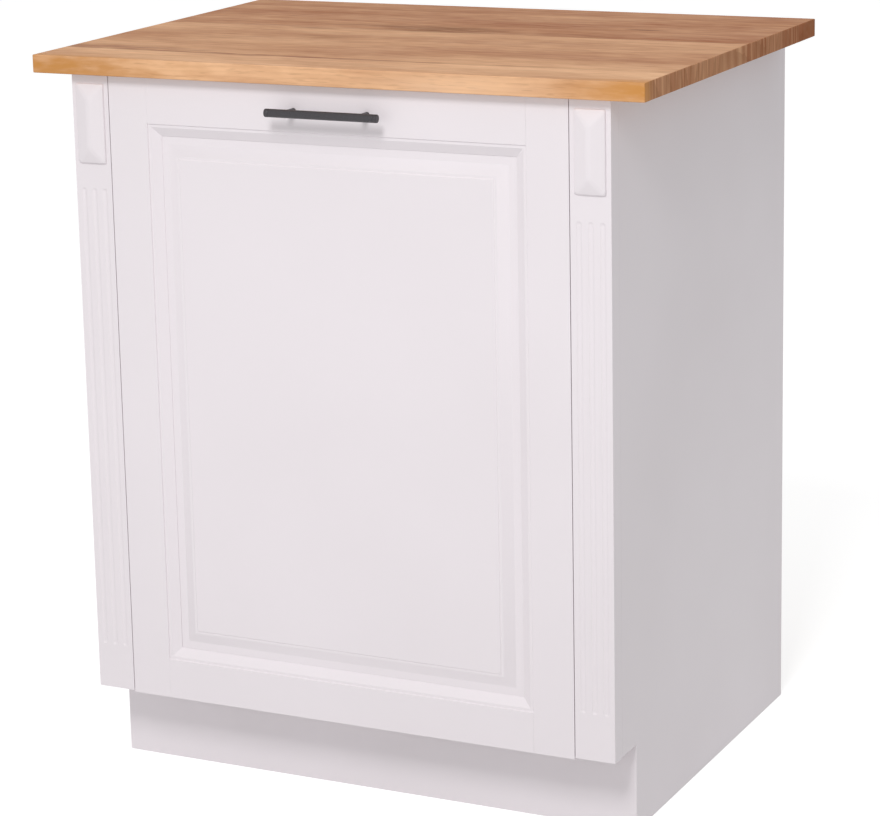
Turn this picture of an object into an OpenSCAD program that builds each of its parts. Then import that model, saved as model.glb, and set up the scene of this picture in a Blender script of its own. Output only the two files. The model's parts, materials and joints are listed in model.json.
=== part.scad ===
// Kitchen base cabinet with a full-height pull-out front
// Units are millimetres. X runs left to right, Y from the front to the wall, Z up from the floor.
// The pieces are drawn with the pilaster faces at y = 0, and moved as one at the end.

/* [Cabinet] */
// Outer width over the two sides
body_w = 700; // [500:10:900]
// Depth from the pilaster faces to the back edges
body_d = 580; // [500:5:700]
// Height from the floor to the underside of the worktop
case_h = 886; // [820:2:960]
// Thickness of the side, bottom, rail and stretcher boards
board_t = 18; // [16:1:22]
// Height of the toe space
toe_h = 108; // [70:2:150]
// Distance that the toe space is set back from the pilaster faces
toe_set = 66; // [40:2:100]
// Thickness of the plinth board
plinth_t = 16; // [12:1:19]
// Side of the square corner blocks behind the plinth
plinth_block = 32; // [20:1:50]
// Width of the two top stretchers, front to back
stretcher_w = 100; // [70:5:140]
// Distance from the back panel to the back stretcher
stretcher_back_gap = 18; // [0:2:60]
// Thickness of the back panel
back_t = 4; // [3:0.5:6]
// Depth of the grooves that hold the back panel
back_groove = 8; // [5:0.5:10]
// Height of the wall rail behind the back panel
wall_rail_h = 100; // [80:5:140]
// Distance between the two wall fixing holes
wall_hole_gap = 448; // [200:32:480]
// Diameter of the wall fixing holes
wall_hole_d = 6; // [4:0.5:8]

/* [Worktop] */
// Thickness of the worktop
top_t = 22; // [18:1:40]
// Overhang of the worktop past each side
top_side_over = 46; // [0:2:70]
// Overhang of the worktop past the pilaster faces
top_front_over = 14; // [4:1:30]
// Distance from the worktop's back edge to the cabinet's back edges
top_back_gap = 20; // [0:2:40]

/* [Pilasters] */
// Width of each pilaster
pil_w = 50; // [44:1:70]
// Thickness of each pilaster
pil_t = 22; // [18:1:26]
// Number of flutes in a pilaster
flute_n = 3; // [1:1:3]
// Distance from one flute to the next
flute_pitch = 14.5; // [12:0.5:16]
// Radius of the flute's round section
flute_r = 6; // [3:0.5:8]
// Depth of the flutes
flute_depth = 1.2; // [0.8:0.1:2]
// Distance from the lower end of the flutes to the lower end of the pilaster
flute_low = 60; // [10:1:90]
// Distance from the upper end of the flutes to the block above them
flute_high = 34; // [10:1:60]
// Width of the raised block on a pilaster
block_w = 38; // [30:1:42]
// Height of the raised block
block_h = 97; // [60:1:140]
// Distance from the block to the top of the pilaster
block_top_gap = 12; // [4:1:30]
// Thickness of the block at its edges
block_edge_t = 2.5; // [1.5:0.5:5]
// Rise of the four sloping faces of the block
block_rise = 6; // [3:0.5:12]

/* [Front] */
// Gap at each side of the front
front_gap = 1; // [0.8:0.1:5]
// Gap between the front and the worktop
front_top_gap = 2; // [1:0.5:10]
// Distance that the front hangs below the pilasters
front_drop = 2; // [0:0.5:6]
// Thickness of the front's frame
front_t = 20; // [18:1:24]
// Width of the flat outer face of the stiles
stile_flat = 52; // [40:0.5:80]
// Width of the flat outer face of the top rail
top_rail_flat = 55; // [40:1:80]
// Width of the flat outer face of the bottom rail
bottom_rail_flat = 50; // [40:1:80]
// Width of the narrow ledge at the inner edge of that face
ledge_w = 4; // [2:0.5:8]
// Depth of the ledge below the face
ledge_depth = 1.4; // [0.6:0.1:2.5]
// Width of the sloping moulding
slope_w = 11; // [6:0.5:16]
// Depth of the moulding's inner edge below the face
slope_depth = 7.5; // [4:0.5:7.5]
// Depth of the groove that holds the panel
panel_groove = 10; // [6:0.5:12]
// Thickness of the panel's tongue
tongue_t = 5; // [4:0.5:6]
// Depth of the tongue's front face below the frame's face
tongue_depth = 8.2; // [8:0.1:9]
// Room for the panel to swell at each edge
panel_room = 1; // [0.5:0.5:3]
// Width of the panel's flat margin that shows
panel_margin = 10; // [5:0.5:14]
// Width of the panel's bevel
bevel_w = 13; // [8:0.5:20]
// Width of the flat band between the bevel and the field
band_w = 3; // [2:0.5:8]
// Depth of the panel's field below the frame's face
field_depth = 1; // [1:0.1:2.6]
// Length of the rail tenons
tenon_l = 12; // [8:1:20]

/* [Handle] */
// Length of the handle bar
bar_l = 146; // [120:2:300]
// Diameter of the handle bar
bar_d = 10; // [9:0.5:16]
// Distance between the two handle posts
post_gap = 96; // [64:32:160]
// Diameter of the handle posts
post_d = 7; // [6:0.5:9]
// Distance from the front's face to the centre of the bar
bar_out = 23; // [22:1:40]
// Distance from the front's top edge down to the centre of the bar
handle_down = 30; // [16:1:45]

/* [Pull-out] */
// Step between the lengths that runners come in; the longest that the cabinet's depth takes is used
runner_step = 50; // [25:25:100]
// Least room between the runners and the back panel
runner_room = 30; // [20:2:60]
// Height of a runner
runner_h = 45; // [42:1:50]
// Thickness of a runner, from the batten to the box
runner_t = 12.7; // [12.5:0.1:14]
// Thickness of the runner's sheet steel
sheet_t = 1.2; // [1:0.1:1.4]
// Running clearance between the members of a runner
runner_gap = 0.4; // [0.3:0.1:0.6]
// Distance from the back of the pilasters to the runners
runner_set = 2; // [1:0.5:10]
// Height of a runner's centre above the lower edge of its box
runner_up = 60; // [40:2:70]
// Height of the battens behind the runners
batten_h = 80; // [76:2:100]
// Width of the upright cleats behind the pilasters
cleat_d = 40; // [36:2:60]
// Thickness of the box sides, fronts and backs
box_t = 15; // [12:1:18]
// Thickness of the box bottoms
box_floor_t = 6; // [4:0.5:9]
// Depth of the grooves that hold the box bottoms
box_groove = 7; // [4:0.5:8]
// Distance from the lower edge of a box to its bottom
box_floor_up = 10; // [8:1:20]
// Distance from the cabinet's bottom board to the lower box
lower_box_up = 16; // [8:1:40]
// Height of the lower box
lower_box_h = 230; // [140:5:300]
// Distance from the lower box to the upper box
box_between = 140; // [80:5:200]
// Height of the upper box
upper_box_h = 150; // [110:5:200]

/* [Fixings] */
// Clearance round a screw, dowel, tongue or tenon
fix_gap = 0.1; // [0.05:0.05:0.2]
// Diameter of the wood screws
screw_d = 4; // [3:0.5:5]
// Diameter of the dowels
dowel_d = 8; // [6:1:8]
// Length of the dowels
dowel_l = 35; // [30:1:40]
// Diameter of the cam locks
cam_d = 15; // [12:1:15]
// Height of the cam locks
cam_h = 12.5; // [11:0.5:13]
// Distance from a board's end to the centre of its cam locks
cam_in = 34; // [24:1:40]
// Diameter of the bumper pads behind the front
pad_d = 9; // [6:1:12]
// Thickness of the bumper pads
pad_t = 1.7; // [1:0.1:3]
// Distance from the pads to the closed front
pad_gap = 0.3; // [0.2:0.1:0.5]

/* [Hidden] */
$fn = 48;
eps = 0.01;

paint = "whitesmoke";
raw_board = "gainsboro";
oak = "peru";
birch = "burlywood";
zinc = "silver";
bar_black = "dimgray";

// The cabinet's main planes
side_x = body_w / 2;
inner_x = side_x - board_t;
open_x = side_x - pil_w;
board_top = toe_h + board_t;
stretcher_z = case_h - board_t;
back_y = body_d - board_t - back_t;
stretcher_back_y = back_y - stretcher_back_gap - stretcher_w;
plinth_back = toe_set + plinth_t;
wall_rail_z = case_h - wall_rail_h;

// The front's planes; closed against the pads, its face may stand out past the pilaster faces
front_proud = front_t + pad_t + pad_gap - pil_t;
front_x = open_x - front_gap;
front_z0 = toe_h - front_drop;
front_z1 = case_h - front_top_gap;
front_h = front_z1 - front_z0;
front_back = front_t - front_proud;
moulding_w = ledge_w + slope_w;
stile_w = stile_flat + moulding_w;
top_rail_z = front_z1 - top_rail_flat - moulding_w;
bottom_rail_z = front_z0 + bottom_rail_flat + moulding_w;
tongue_back = tongue_depth + tongue_t;
tenon_edge = 8;
panel_step = 1;

// The handle
bar_y = -front_proud - bar_out;
bar_z = front_z1 - handle_down;
handle_screw_d = 4;
handle_screw_in = 11;
handle_head_d = 8;
handle_head_h = 2.4;
bar_chamfer = 0.8;

// The runners and boxes
runner_y = pil_t + runner_set;
runner_l = runner_step * floor((back_y - runner_room - runner_y) / runner_step);
rail_web_x = open_x - sheet_t;
box_x = open_x - runner_t;
box_back = runner_y + runner_l;
lower_box_z = board_top + lower_box_up;
upper_box_z = lower_box_z + lower_box_h + box_between;
lower_runner_z = lower_box_z + runner_up;
upper_runner_z = upper_box_z + runner_up;
batten_y = pil_t + cleat_d;
slide_web_x = box_x + sheet_t;
rail_clear = 1.5;
rail_reach = runner_t - sheet_t - rail_clear;
rail_inside = runner_h - 2 * sheet_t;
middle_h = rail_inside - 2 * runner_gap;
middle_out = 4;
slide_h = middle_h - 2 * sheet_t - 2 * runner_gap;
slide_out = middle_out + sheet_t + runner_gap;
rail_mouth = slide_h + 2 * runner_gap;
batten_end = back_y - runner_room / 2;
batten_w = inner_x - open_x;

// The fixings: how far each kind goes in, and where it stands
bite = 0.6;
head_d = 2 * screw_d;
head_h = screw_d / 2;
runner_screw_d = 3.5;
runner_head_d = 7;
runner_head_h = 1.8;
runner_screw_l = 13;
runner_screw_front = 30;
runner_screw_back = 40;
runner_screw_y = [runner_screw_front, runner_l / 2, runner_l - runner_screw_back];
batten_screw_edge = 10;
batten_screw_end = 80;
batten_screw_l = batten_w + bite * board_t;
batten_screw_up = batten_h / 2 - batten_screw_edge;
batten_screw_y = [batten_y + batten_screw_end, batten_end - batten_screw_end];
cleat_screw_low = 30;
cleat_screw_high = 58;
cleat_screw_z = [board_top + cleat_screw_low, lower_runner_z + batten_h, stretcher_z - cleat_screw_high];
pilaster_screw_low = 50;
pilaster_screw_mid = 60;
pilaster_screw_high = 120;
pilaster_screw_z = [
    lower_runner_z + pilaster_screw_low, upper_runner_z - pilaster_screw_mid,
    stretcher_z - pilaster_screw_high
];
pilaster_screw_l = cleat_d + bite * pil_t;
top_screw_in = 92;
top_screw_x = inner_x - top_screw_in;
top_screw_l = board_t + bite * top_t;
top_screw_y = [pil_t + stretcher_w / 2, stretcher_back_y + stretcher_w / 2];
box_screw_l = 40;
box_screw_edge = 28;
front_screw_l = box_t + bite * front_t;
front_screw_side = 20;
front_screw_in = box_t + front_screw_side;
bolt_d = 6;
bolt_thread_d = 5;
bolt_head_d = 7;
bolt_head_l = 3;
bolt_in = 11;
bolt_bore_d = 8;
dowel_in = 12;
dowel_step = 32;
cam_slot = 2;
cam_hollow = 1;
pad_in = 112;

// Each flat joint is the place of its cam, the height of the board's middle and the way to its dowel
bottom_mid = toe_h + board_t / 2;
stretcher_mid = stretcher_z + board_t / 2;
bottom_joint_front = 22;
bottom_joint_back = 70;
bottom_joints = [
    [plinth_back + plinth_block + bottom_joint_front, bottom_mid, 1],
    [back_y - bottom_joint_back, bottom_mid, -1]
];
stretcher_front_joints = [[pil_t + stretcher_w / 3, stretcher_mid, 1]];
stretcher_back_joints = [[stretcher_back_y + stretcher_w / 3, stretcher_mid, 1]];
flat_joints = concat(bottom_joints, stretcher_front_joints, stretcher_back_joints);
rail_y = body_d - board_t / 2;
rail_cam_down = 34;
rail_cam_z = case_h - rail_cam_down;
rail_dowel_z = rail_cam_z - dowel_step;

// The rest frame: the origin is under the middle of the whole cabinet, on the floor
reach_out = max(bar_out + bar_d / 2 + front_proud, top_front_over);
frame_y = -(body_d - reach_out) / 2;

// Helpers

module in_frame() translate([0, frame_y, 0]) children();

// A box from its low corner to its high corner
module block(low, high) translate(low) cube(high - low);

// The child on the right, or its mirror image on the left
module handed(way) mirror([way < 0 ? 1 : 0, 0, 0]) children();

module both_hands() {
    handed(1) children();
    handed(-1) children();
}

// A shape drawn in (x, z), standing on the plane at y and running back by d
module upright(y, d) translate([0, y + d, 0]) rotate([90, 0, 0]) linear_extrude(d) children();

// A round bar or bore along X
module bore_x(d, from, to) translate([from, 0, 0]) towards_x() cylinder(d = d, h = to - from);

// Turns a thing that points along +Z so that it points along the named way
module towards_x() rotate([0, 90, 0]) children();
module towards_minus_x() rotate([0, -90, 0]) children();
module towards_minus_y() rotate([90, 0, 0]) children();

// A countersunk screw that starts at the surface and points along +Z; grow makes its hole
module wood_screw(length, grow = 0) {
    difference() {
        union() {
            cylinder(d = screw_d + 2 * grow, h = length + grow);
            translate([0, 0, grow > 0 ? -eps : 0]) {
                cylinder(d1 = head_d + 2 * grow, d2 = screw_d + 2 * grow, h = head_h + grow);
            }
        }
        if (grow == 0) translate([0, 0, -eps]) cylinder(d = head_d / 2, h = head_h, $fn = 6);
    }
}

// A pan-head screw whose head lies behind the surface; grow makes its hole
module pan_screw(length, grow = 0) {
    translate([0, 0, grow > 0 ? -eps : 0]) cylinder(d = runner_screw_d + 2 * grow, h = length + grow);
    if (grow == 0) difference() {
        translate([0, 0, -runner_head_h]) cylinder(d = runner_head_d, h = runner_head_h);
        translate([0, 0, -runner_head_h - eps]) {
            cylinder(d = runner_head_d / 2, h = runner_head_h / 2, $fn = 6);
        }
    }
}

// Where the fixings stand, on the right hand side

module at_flat_cams(joints) for (j = joints) translate([inner_x, j[0], j[1]]) children();
module at_flat_dowels(joints) {
    for (j = joints) translate([inner_x, j[0] + j[2] * dowel_step, j[1]]) children();
}
module at_rail_cam() translate([inner_x, rail_y, rail_cam_z]) children();
module at_rail_dowel() translate([inner_x, rail_y, rail_dowel_z]) children();
module at_cleat_screws() for (z = cleat_screw_z) translate([open_x, pil_t + cleat_d / 2, z]) children();
module at_pilaster_screws() {
    for (z = pilaster_screw_z) translate([(open_x + inner_x) / 2, batten_y, z]) children();
}
module at_batten_screws(z) {
    for (y = batten_screw_y) translate([open_x, y, z + batten_screw_up]) children();
}
module at_runner_screws(x, z) for (y = runner_screw_y) translate([x, runner_y + y, z]) children();
module at_top_screws() {
    for (x = [-top_screw_x, 0, top_screw_x], y = top_screw_y) translate([x, y, stretcher_z]) children();
}
module at_handle_screws() {
    for (x = [-post_gap / 2, post_gap / 2]) translate([x, front_back, bar_z]) children();
}
module at_box_screws(z, h) {
    for (y = [front_back + box_t / 2, box_back - box_t / 2]) {
        for (up = [z + box_screw_edge, z + h - box_screw_edge]) translate([box_x, y, up]) children();
    }
}
module at_front_screws(z, h) {
    for (up = [z + 2 * box_screw_edge, z + h - 2 * box_screw_edge]) {
        translate([box_x - front_screw_in, front_back + box_t, up]) children();
    }
}

// Bores for the cam bolts and dowels, seen from where a board's end meets the side
module bolt_bore() bore_x(bolt_thread_d + 2 * fix_gap, -eps, bolt_in + fix_gap);
module dowel_bore() bore_x(dowel_d + 2 * fix_gap, -eps, dowel_in + fix_gap);
module dowel_end_bore() bore_x(dowel_d + 2 * fix_gap, dowel_in - dowel_l - fix_gap, eps);
module bolt_end_bore() bore_x(bolt_bore_d, -cam_in, eps);
module cam_bore() translate([-cam_in, 0, -board_t / 2 - eps]) {
    cylinder(d = cam_d + 2 * fix_gap, h = cam_h + fix_gap);
}

// Cabinet boards

module side() {
    difference() {
        translate([inner_x, 0, 0]) rotate([90, 0, 90]) linear_extrude(board_t) polygon([
            [toe_set, 0], [body_d, 0], [body_d, case_h], [pil_t, case_h], [pil_t, toe_h], [toe_set, toe_h]
        ]);
        block([inner_x - eps, back_y - fix_gap, toe_h - fix_gap],
            [inner_x + back_groove, back_y + back_t + fix_gap, case_h + eps]);
        at_flat_cams(flat_joints) bolt_bore();
        at_rail_cam() bolt_bore();
        at_flat_dowels(flat_joints) dowel_bore();
        at_rail_dowel() dowel_bore();
        at_cleat_screws() towards_x() wood_screw(batten_screw_l, fix_gap);
        for (z = [lower_runner_z, upper_runner_z]) {
            at_batten_screws(z) towards_x() wood_screw(batten_screw_l, fix_gap);
        }
    }
}

module side_left() color(paint) handed(-1) side();
module side_right() color(paint) side();

// A level board between the sides, bored at both ends for its own joints
module flat_board(y0, y1, z, joints) difference() {
    block([-inner_x, y0, z], [inner_x, y1, z + board_t]);
    both_hands() {
        at_flat_cams(joints) {
            bolt_end_bore();
            cam_bore();
        }
        at_flat_dowels(joints) dowel_end_bore();
    }
}

module stretcher(y, joints) difference() {
    flat_board(y, y + stretcher_w, stretcher_z, joints);
    at_top_screws() wood_screw(top_screw_l, fix_gap);
}

module bottom_board() color(raw_board) flat_board(pil_t, back_y, toe_h, bottom_joints);
module stretcher_front() color(raw_board) stretcher(pil_t, stretcher_front_joints);
module stretcher_back() color(raw_board) stretcher(stretcher_back_y, stretcher_back_joints);

module wall_holes() for (x = [-wall_hole_gap / 2, wall_hole_gap / 2]) {
    translate([x, body_d + eps, case_h - wall_rail_h / 2]) towards_minus_y() {
        cylinder(d = wall_hole_d, h = 2 * board_t);
    }
}

module back_panel() color(raw_board) difference() {
    block([-inner_x - back_groove + panel_room, back_y, toe_h],
        [inner_x + back_groove - panel_room, back_y + back_t, case_h]);
    wall_holes();
}

module wall_rail() color(raw_board) difference() {
    block([-inner_x, back_y + back_t, wall_rail_z], [inner_x, body_d, case_h]);
    wall_holes();
    both_hands() {
        at_rail_cam() {
            bolt_end_bore();
            rotate([90, 0, 0]) cam_bore();
        }
        at_rail_dowel() dowel_end_bore();
    }
}

module plinth_board() color(paint) block([-inner_x, toe_set, 0], [inner_x, plinth_back, toe_h]);

module plinth_blocks() color(birch) both_hands() {
    block([inner_x - plinth_block, plinth_back, 0], [inner_x, plinth_back + plinth_block, toe_h]);
}

module worktop() color(oak) difference() {
    block([-side_x - top_side_over, -top_front_over, case_h],
        [side_x + top_side_over, body_d - top_back_gap, case_h + top_t]);
    at_top_screws() wood_screw(top_screw_l, fix_gap);
}

// Pilasters

module flute(x) {
    low = toe_h + flute_low;
    high = case_h - block_top_gap - block_h - flute_high;
    translate([x, flute_depth - flute_r, low]) cylinder(r = flute_r, h = high - low);
    for (z = [low, high]) translate([x, flute_depth - flute_r, z]) sphere(r = flute_r);
}

module pilaster() difference() {
    block([open_x, 0, toe_h], [side_x, pil_t, case_h]);
    for (i = [0 : flute_n - 1]) flute((open_x + side_x) / 2 + (i - (flute_n - 1) / 2) * flute_pitch);
    at_pilaster_screws() towards_minus_y() wood_screw(pilaster_screw_l, fix_gap);
}

// A block of four sloping faces, cut from two roof shapes that cross
module pilaster_block() {
    peak = -block_edge_t - block_rise;
    hip = block_h / 2 - block_w / 2;
    translate([(open_x + side_x) / 2, 0, case_h - block_top_gap - block_h / 2]) intersection() {
        translate([0, 0, -block_h / 2]) linear_extrude(block_h) polygon([
            [-block_w / 2, 0], [-block_w / 2, -block_edge_t], [0, peak],
            [block_w / 2, -block_edge_t], [block_w / 2, 0]
        ]);
        translate([-block_w / 2, 0, 0]) rotate([90, 0, 90]) linear_extrude(block_w) polygon([
            [0, -block_h / 2], [-block_edge_t, -block_h / 2], [peak, -hip], [peak, hip],
            [-block_edge_t, block_h / 2], [0, block_h / 2]
        ]);
    }
}

module pilaster_left() color(paint) handed(-1) pilaster();
module pilaster_right() color(paint) pilaster();
module pilaster_block_left() color(paint) handed(-1) pilaster_block();
module pilaster_block_right() color(paint) pilaster_block();

// Cleats and battens that bring the sides out to the width between the pilasters

module cleat() difference() {
    block([open_x, pil_t, board_top], [inner_x, batten_y, stretcher_z]);
    at_cleat_screws() towards_x() wood_screw(batten_screw_l, fix_gap);
    at_pilaster_screws() towards_minus_y() wood_screw(pilaster_screw_l, fix_gap);
    for (z = [lower_runner_z, upper_runner_z]) {
        at_runner_screws(rail_web_x, z) towards_x() pan_screw(runner_screw_l, fix_gap);
    }
}

module batten(z) difference() {
    block([open_x, batten_y, z - batten_h / 2], [inner_x, batten_end, z + batten_h / 2]);
    at_batten_screws(z) towards_x() wood_screw(batten_screw_l, fix_gap);
    at_runner_screws(rail_web_x, z) towards_x() pan_screw(runner_screw_l, fix_gap);
}

module cleat_left() color(birch) handed(-1) cleat();
module cleat_right() color(birch) cleat();
module batten_lower_left() color(birch) handed(-1) batten(lower_runner_z);
module batten_lower_right() color(birch) batten(lower_runner_z);
module batten_upper_left() color(birch) handed(-1) batten(upper_runner_z);
module batten_upper_right() color(birch) batten(upper_runner_z);

// Runners: each section is drawn in distance from the batten and height, for the right hand side

module runner_part(z) translate([open_x, runner_y, z]) rotate([90, 0, 180]) {
    linear_extrude(runner_l) children();
}

// The channel that is screwed to the batten, with lips that keep the middle member in
module rail_section() difference() {
    translate([0, -runner_h / 2]) square([rail_reach, runner_h]);
    translate([sheet_t, -rail_inside / 2]) square([rail_reach - 2 * sheet_t, rail_inside]);
    translate([sheet_t, -rail_mouth / 2]) square([rail_reach, rail_mouth]);
}

module middle_section() difference() {
    translate([middle_out, -middle_h / 2]) square([rail_reach - sheet_t - runner_gap - middle_out, middle_h]);
    translate([middle_out + sheet_t, -middle_h / 2 + sheet_t]) square([rail_reach, middle_h - 2 * sheet_t]);
}

module slide_section() difference() {
    translate([slide_out, -slide_h / 2]) square([runner_t - slide_out, slide_h]);
    translate([0, -slide_h / 2 + sheet_t]) square([runner_t - sheet_t, slide_h - 2 * sheet_t]);
}

module runner_rail(z) difference() {
    runner_part(z) rail_section();
    at_runner_screws(rail_web_x, z) towards_x() pan_screw(runner_screw_l, fix_gap);
}

module runner_middle(z) runner_part(z) middle_section();

module runner_slide(z) difference() {
    runner_part(z) slide_section();
    at_runner_screws(slide_web_x, z) towards_minus_x() pan_screw(runner_screw_l, fix_gap);
}

module runner_rail_lower_left() color(zinc) handed(-1) runner_rail(lower_runner_z);
module runner_rail_lower_right() color(zinc) runner_rail(lower_runner_z);
module runner_rail_upper_left() color(zinc) handed(-1) runner_rail(upper_runner_z);
module runner_rail_upper_right() color(zinc) runner_rail(upper_runner_z);
module runner_middle_lower_left() color(zinc) handed(-1) runner_middle(lower_runner_z);
module runner_middle_lower_right() color(zinc) runner_middle(lower_runner_z);
module runner_middle_upper_left() color(zinc) handed(-1) runner_middle(upper_runner_z);
module runner_middle_upper_right() color(zinc) runner_middle(upper_runner_z);
module runner_slide_lower_left() color(zinc) handed(-1) runner_slide(lower_runner_z);
module runner_slide_lower_right() color(zinc) runner_slide(lower_runner_z);
module runner_slide_upper_left() color(zinc) handed(-1) runner_slide(upper_runner_z);
module runner_slide_upper_right() color(zinc) runner_slide(upper_runner_z);

// The front: two stiles, two rails and a raised panel held in their grooves

// Section of a stile or rail: distance from its outer edge, and depth below its face
function member_section(flat) = [
    [0, 0], [flat, 0], [flat + ledge_depth / 2, ledge_depth], [flat + ledge_w, ledge_depth],
    [flat + moulding_w, slope_depth], [flat + moulding_w, tongue_depth - fix_gap],
    [flat + moulding_w - panel_groove, tongue_depth - fix_gap],
    [flat + moulding_w - panel_groove, tongue_back + fix_gap],
    [flat + moulding_w, tongue_back + fix_gap], [flat + moulding_w, front_t], [0, front_t]
];

// Tenons stand at the ends of a rail whose flat part begins at z; grow makes the mortise
module tenon(z, flat, grow = 0) {
    block([front_x - stile_flat - eps, tongue_depth - front_proud - grow, z + tenon_edge - grow],
        [front_x - stile_flat + tenon_l + grow, tongue_back - front_proud + grow,
            z + flat - tenon_edge + grow]);
}

module stile() difference() {
    intersection() {
        translate([front_x, -front_proud, front_z0]) linear_extrude(front_h) {
            polygon([for (p = member_section(stile_flat)) [-p[0], p[1]]]);
        }
        upright(-front_proud, front_t) polygon([
            [front_x, front_z0], [front_x, front_z1],
            [front_x - stile_flat, front_z1], [front_x - stile_flat, front_z1 - top_rail_flat],
            [front_x - stile_w, top_rail_z], [front_x - stile_w, bottom_rail_z],
            [front_x - stile_flat, front_z0 + bottom_rail_flat], [front_x - stile_flat, front_z0]
        ]);
    }
    tenon(front_z0, bottom_rail_flat, fix_gap);
    tenon(front_z1 - top_rail_flat, top_rail_flat, fix_gap);
    at_front_screws(lower_box_z, lower_box_h) towards_minus_y() wood_screw(front_screw_l, fix_gap);
    at_front_screws(upper_box_z, upper_box_h) towards_minus_y() wood_screw(front_screw_l, fix_gap);
}

// A rail with its outer edge at height z; way is 1 where its moulding is above that edge, and -1 below
module rail(z, flat, way) intersection() {
    translate([-front_x, -front_proud, z]) rotate([90, 0, 90]) linear_extrude(2 * front_x) {
        polygon([for (p = member_section(flat)) [p[1], way * p[0]]]);
    }
    upright(-front_proud, front_t) polygon([
        [stile_flat - front_x, z], [stile_flat - front_x, z + way * flat],
        [stile_w - front_x, z + way * (flat + moulding_w)],
        [front_x - stile_w, z + way * (flat + moulding_w)],
        [front_x - stile_flat, z + way * flat], [front_x - stile_flat, z]
    ]);
}

module front_stile_left() color(paint) handed(-1) stile();
module front_stile_right() color(paint) stile();

module front_rail_bottom() color(paint) {
    rail(front_z0, bottom_rail_flat, 1);
    both_hands() tenon(front_z0, bottom_rail_flat);
}

module front_rail_top() color(paint) difference() {
    union() {
        rail(front_z1, top_rail_flat, -1);
        both_hands() tenon(front_z1 - top_rail_flat, top_rail_flat);
    }
    at_handle_screws() towards_minus_y() {
        cylinder(d = handle_screw_d + 2 * fix_gap, h = 3 * front_t, center = true);
    }
}

// Section of the panel from its tongue to its field, as distance from the edge and depth below the face
panel_hidden = panel_groove - panel_room;
panel_steps = [
    [0, tongue_depth], [panel_hidden + panel_margin, tongue_depth],
    [panel_hidden + panel_margin + bevel_w, field_depth + panel_step],
    [panel_hidden + panel_margin + bevel_w + band_w, field_depth + panel_step],
    [panel_hidden + panel_margin + bevel_w + band_w + panel_step, field_depth]
];

// The panel's section across a given width, for both of its directions
module panel_section(width) polygon(concat(
    [[-width / 2, tongue_back]],
    [for (p = panel_steps) [p[0] - width / 2, p[1]]],
    [for (i = [len(panel_steps) - 1 : -1 : 0]) [width / 2 - panel_steps[i][0], panel_steps[i][1]]],
    [[width / 2, tongue_back]]
));

module front_panel() color(paint) intersection() {
    panel_w = 2 * (front_x - stile_w + panel_hidden);
    panel_h = top_rail_z - bottom_rail_z + 2 * panel_hidden;
    translate([0, -front_proud, front_z0]) linear_extrude(front_h) panel_section(panel_w);
    translate([-front_x, -front_proud, (top_rail_z + bottom_rail_z) / 2]) rotate([90, 0, 90]) {
        linear_extrude(2 * front_x) mirror([1, -1]) panel_section(panel_h);
    }
}

// The handle

module handle_bar() color(bar_black) translate([0, bar_y, bar_z]) {
    body = bar_l - 2 * bar_chamfer;
    bore_x(bar_d, -body / 2, body / 2);
    both_hands() translate([body / 2, 0, 0]) towards_x() {
        cylinder(d1 = bar_d, d2 = bar_d - 2 * bar_chamfer, h = bar_chamfer);
    }
}

module handle_posts() color(bar_black) difference() {
    for (x = [-post_gap / 2, post_gap / 2]) {
        translate([x, -front_proud, bar_z]) towards_minus_y() cylinder(d = post_d, h = bar_out);
    }
    translate([0, bar_y, bar_z]) bore_x(bar_d + 2 * fix_gap, -bar_l, bar_l);
    at_handle_screws() towards_minus_y() {
        cylinder(d = handle_screw_d + 2 * fix_gap, h = front_t + handle_screw_in + fix_gap);
    }
}

module handle_screws() color(zinc) at_handle_screws() towards_minus_y() {
    cylinder(d = handle_screw_d, h = front_t + handle_screw_in);
    difference() {
        translate([0, 0, -handle_head_h]) cylinder(d = handle_head_d, h = handle_head_h);
        translate([0, 0, -handle_head_h - eps]) {
            cylinder(d = handle_head_d / 2, h = handle_head_h / 2, $fn = 6);
        }
    }
}

// The two boxes of the pull-out, drawn for a lower edge at z and a height h

module box_floor_space(z, grow = 0) {
    inset = box_t - box_groove - grow;
    block([inset - box_x, front_back + inset, z + box_floor_up - grow],
        [box_x - inset, box_back - inset, z + box_floor_up + box_floor_t + grow]);
}

module box_side(z, h) difference() {
    block([box_x - box_t, front_back, z], [box_x, box_back, z + h]);
    box_floor_space(z, fix_gap);
    at_box_screws(z, h) towards_minus_x() wood_screw(box_screw_l, fix_gap);
    at_runner_screws(slide_web_x, z + runner_up) towards_minus_x() pan_screw(runner_screw_l, fix_gap);
}

module box_end(y, z, h) difference() {
    block([box_t - box_x, y, z], [box_x - box_t, y + box_t, z + h]);
    box_floor_space(z, fix_gap);
    both_hands() {
        at_box_screws(z, h) towards_minus_x() wood_screw(box_screw_l, fix_gap);
        at_front_screws(z, h) towards_minus_y() wood_screw(front_screw_l, fix_gap);
    }
}

module lower_box_side_left() color(birch) handed(-1) box_side(lower_box_z, lower_box_h);
module lower_box_side_right() color(birch) box_side(lower_box_z, lower_box_h);
module lower_box_front() color(birch) box_end(front_back, lower_box_z, lower_box_h);
module lower_box_back() color(birch) box_end(box_back - box_t, lower_box_z, lower_box_h);
module lower_box_bottom() color(birch) box_floor_space(lower_box_z);
module upper_box_side_left() color(birch) handed(-1) box_side(upper_box_z, upper_box_h);
module upper_box_side_right() color(birch) box_side(upper_box_z, upper_box_h);
module upper_box_front() color(birch) box_end(front_back, upper_box_z, upper_box_h);
module upper_box_back() color(birch) box_end(box_back - box_t, upper_box_z, upper_box_h);
module upper_box_bottom() color(birch) box_floor_space(upper_box_z);

// Fixings

module worktop_screws() color(zinc) at_top_screws() wood_screw(top_screw_l);

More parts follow.
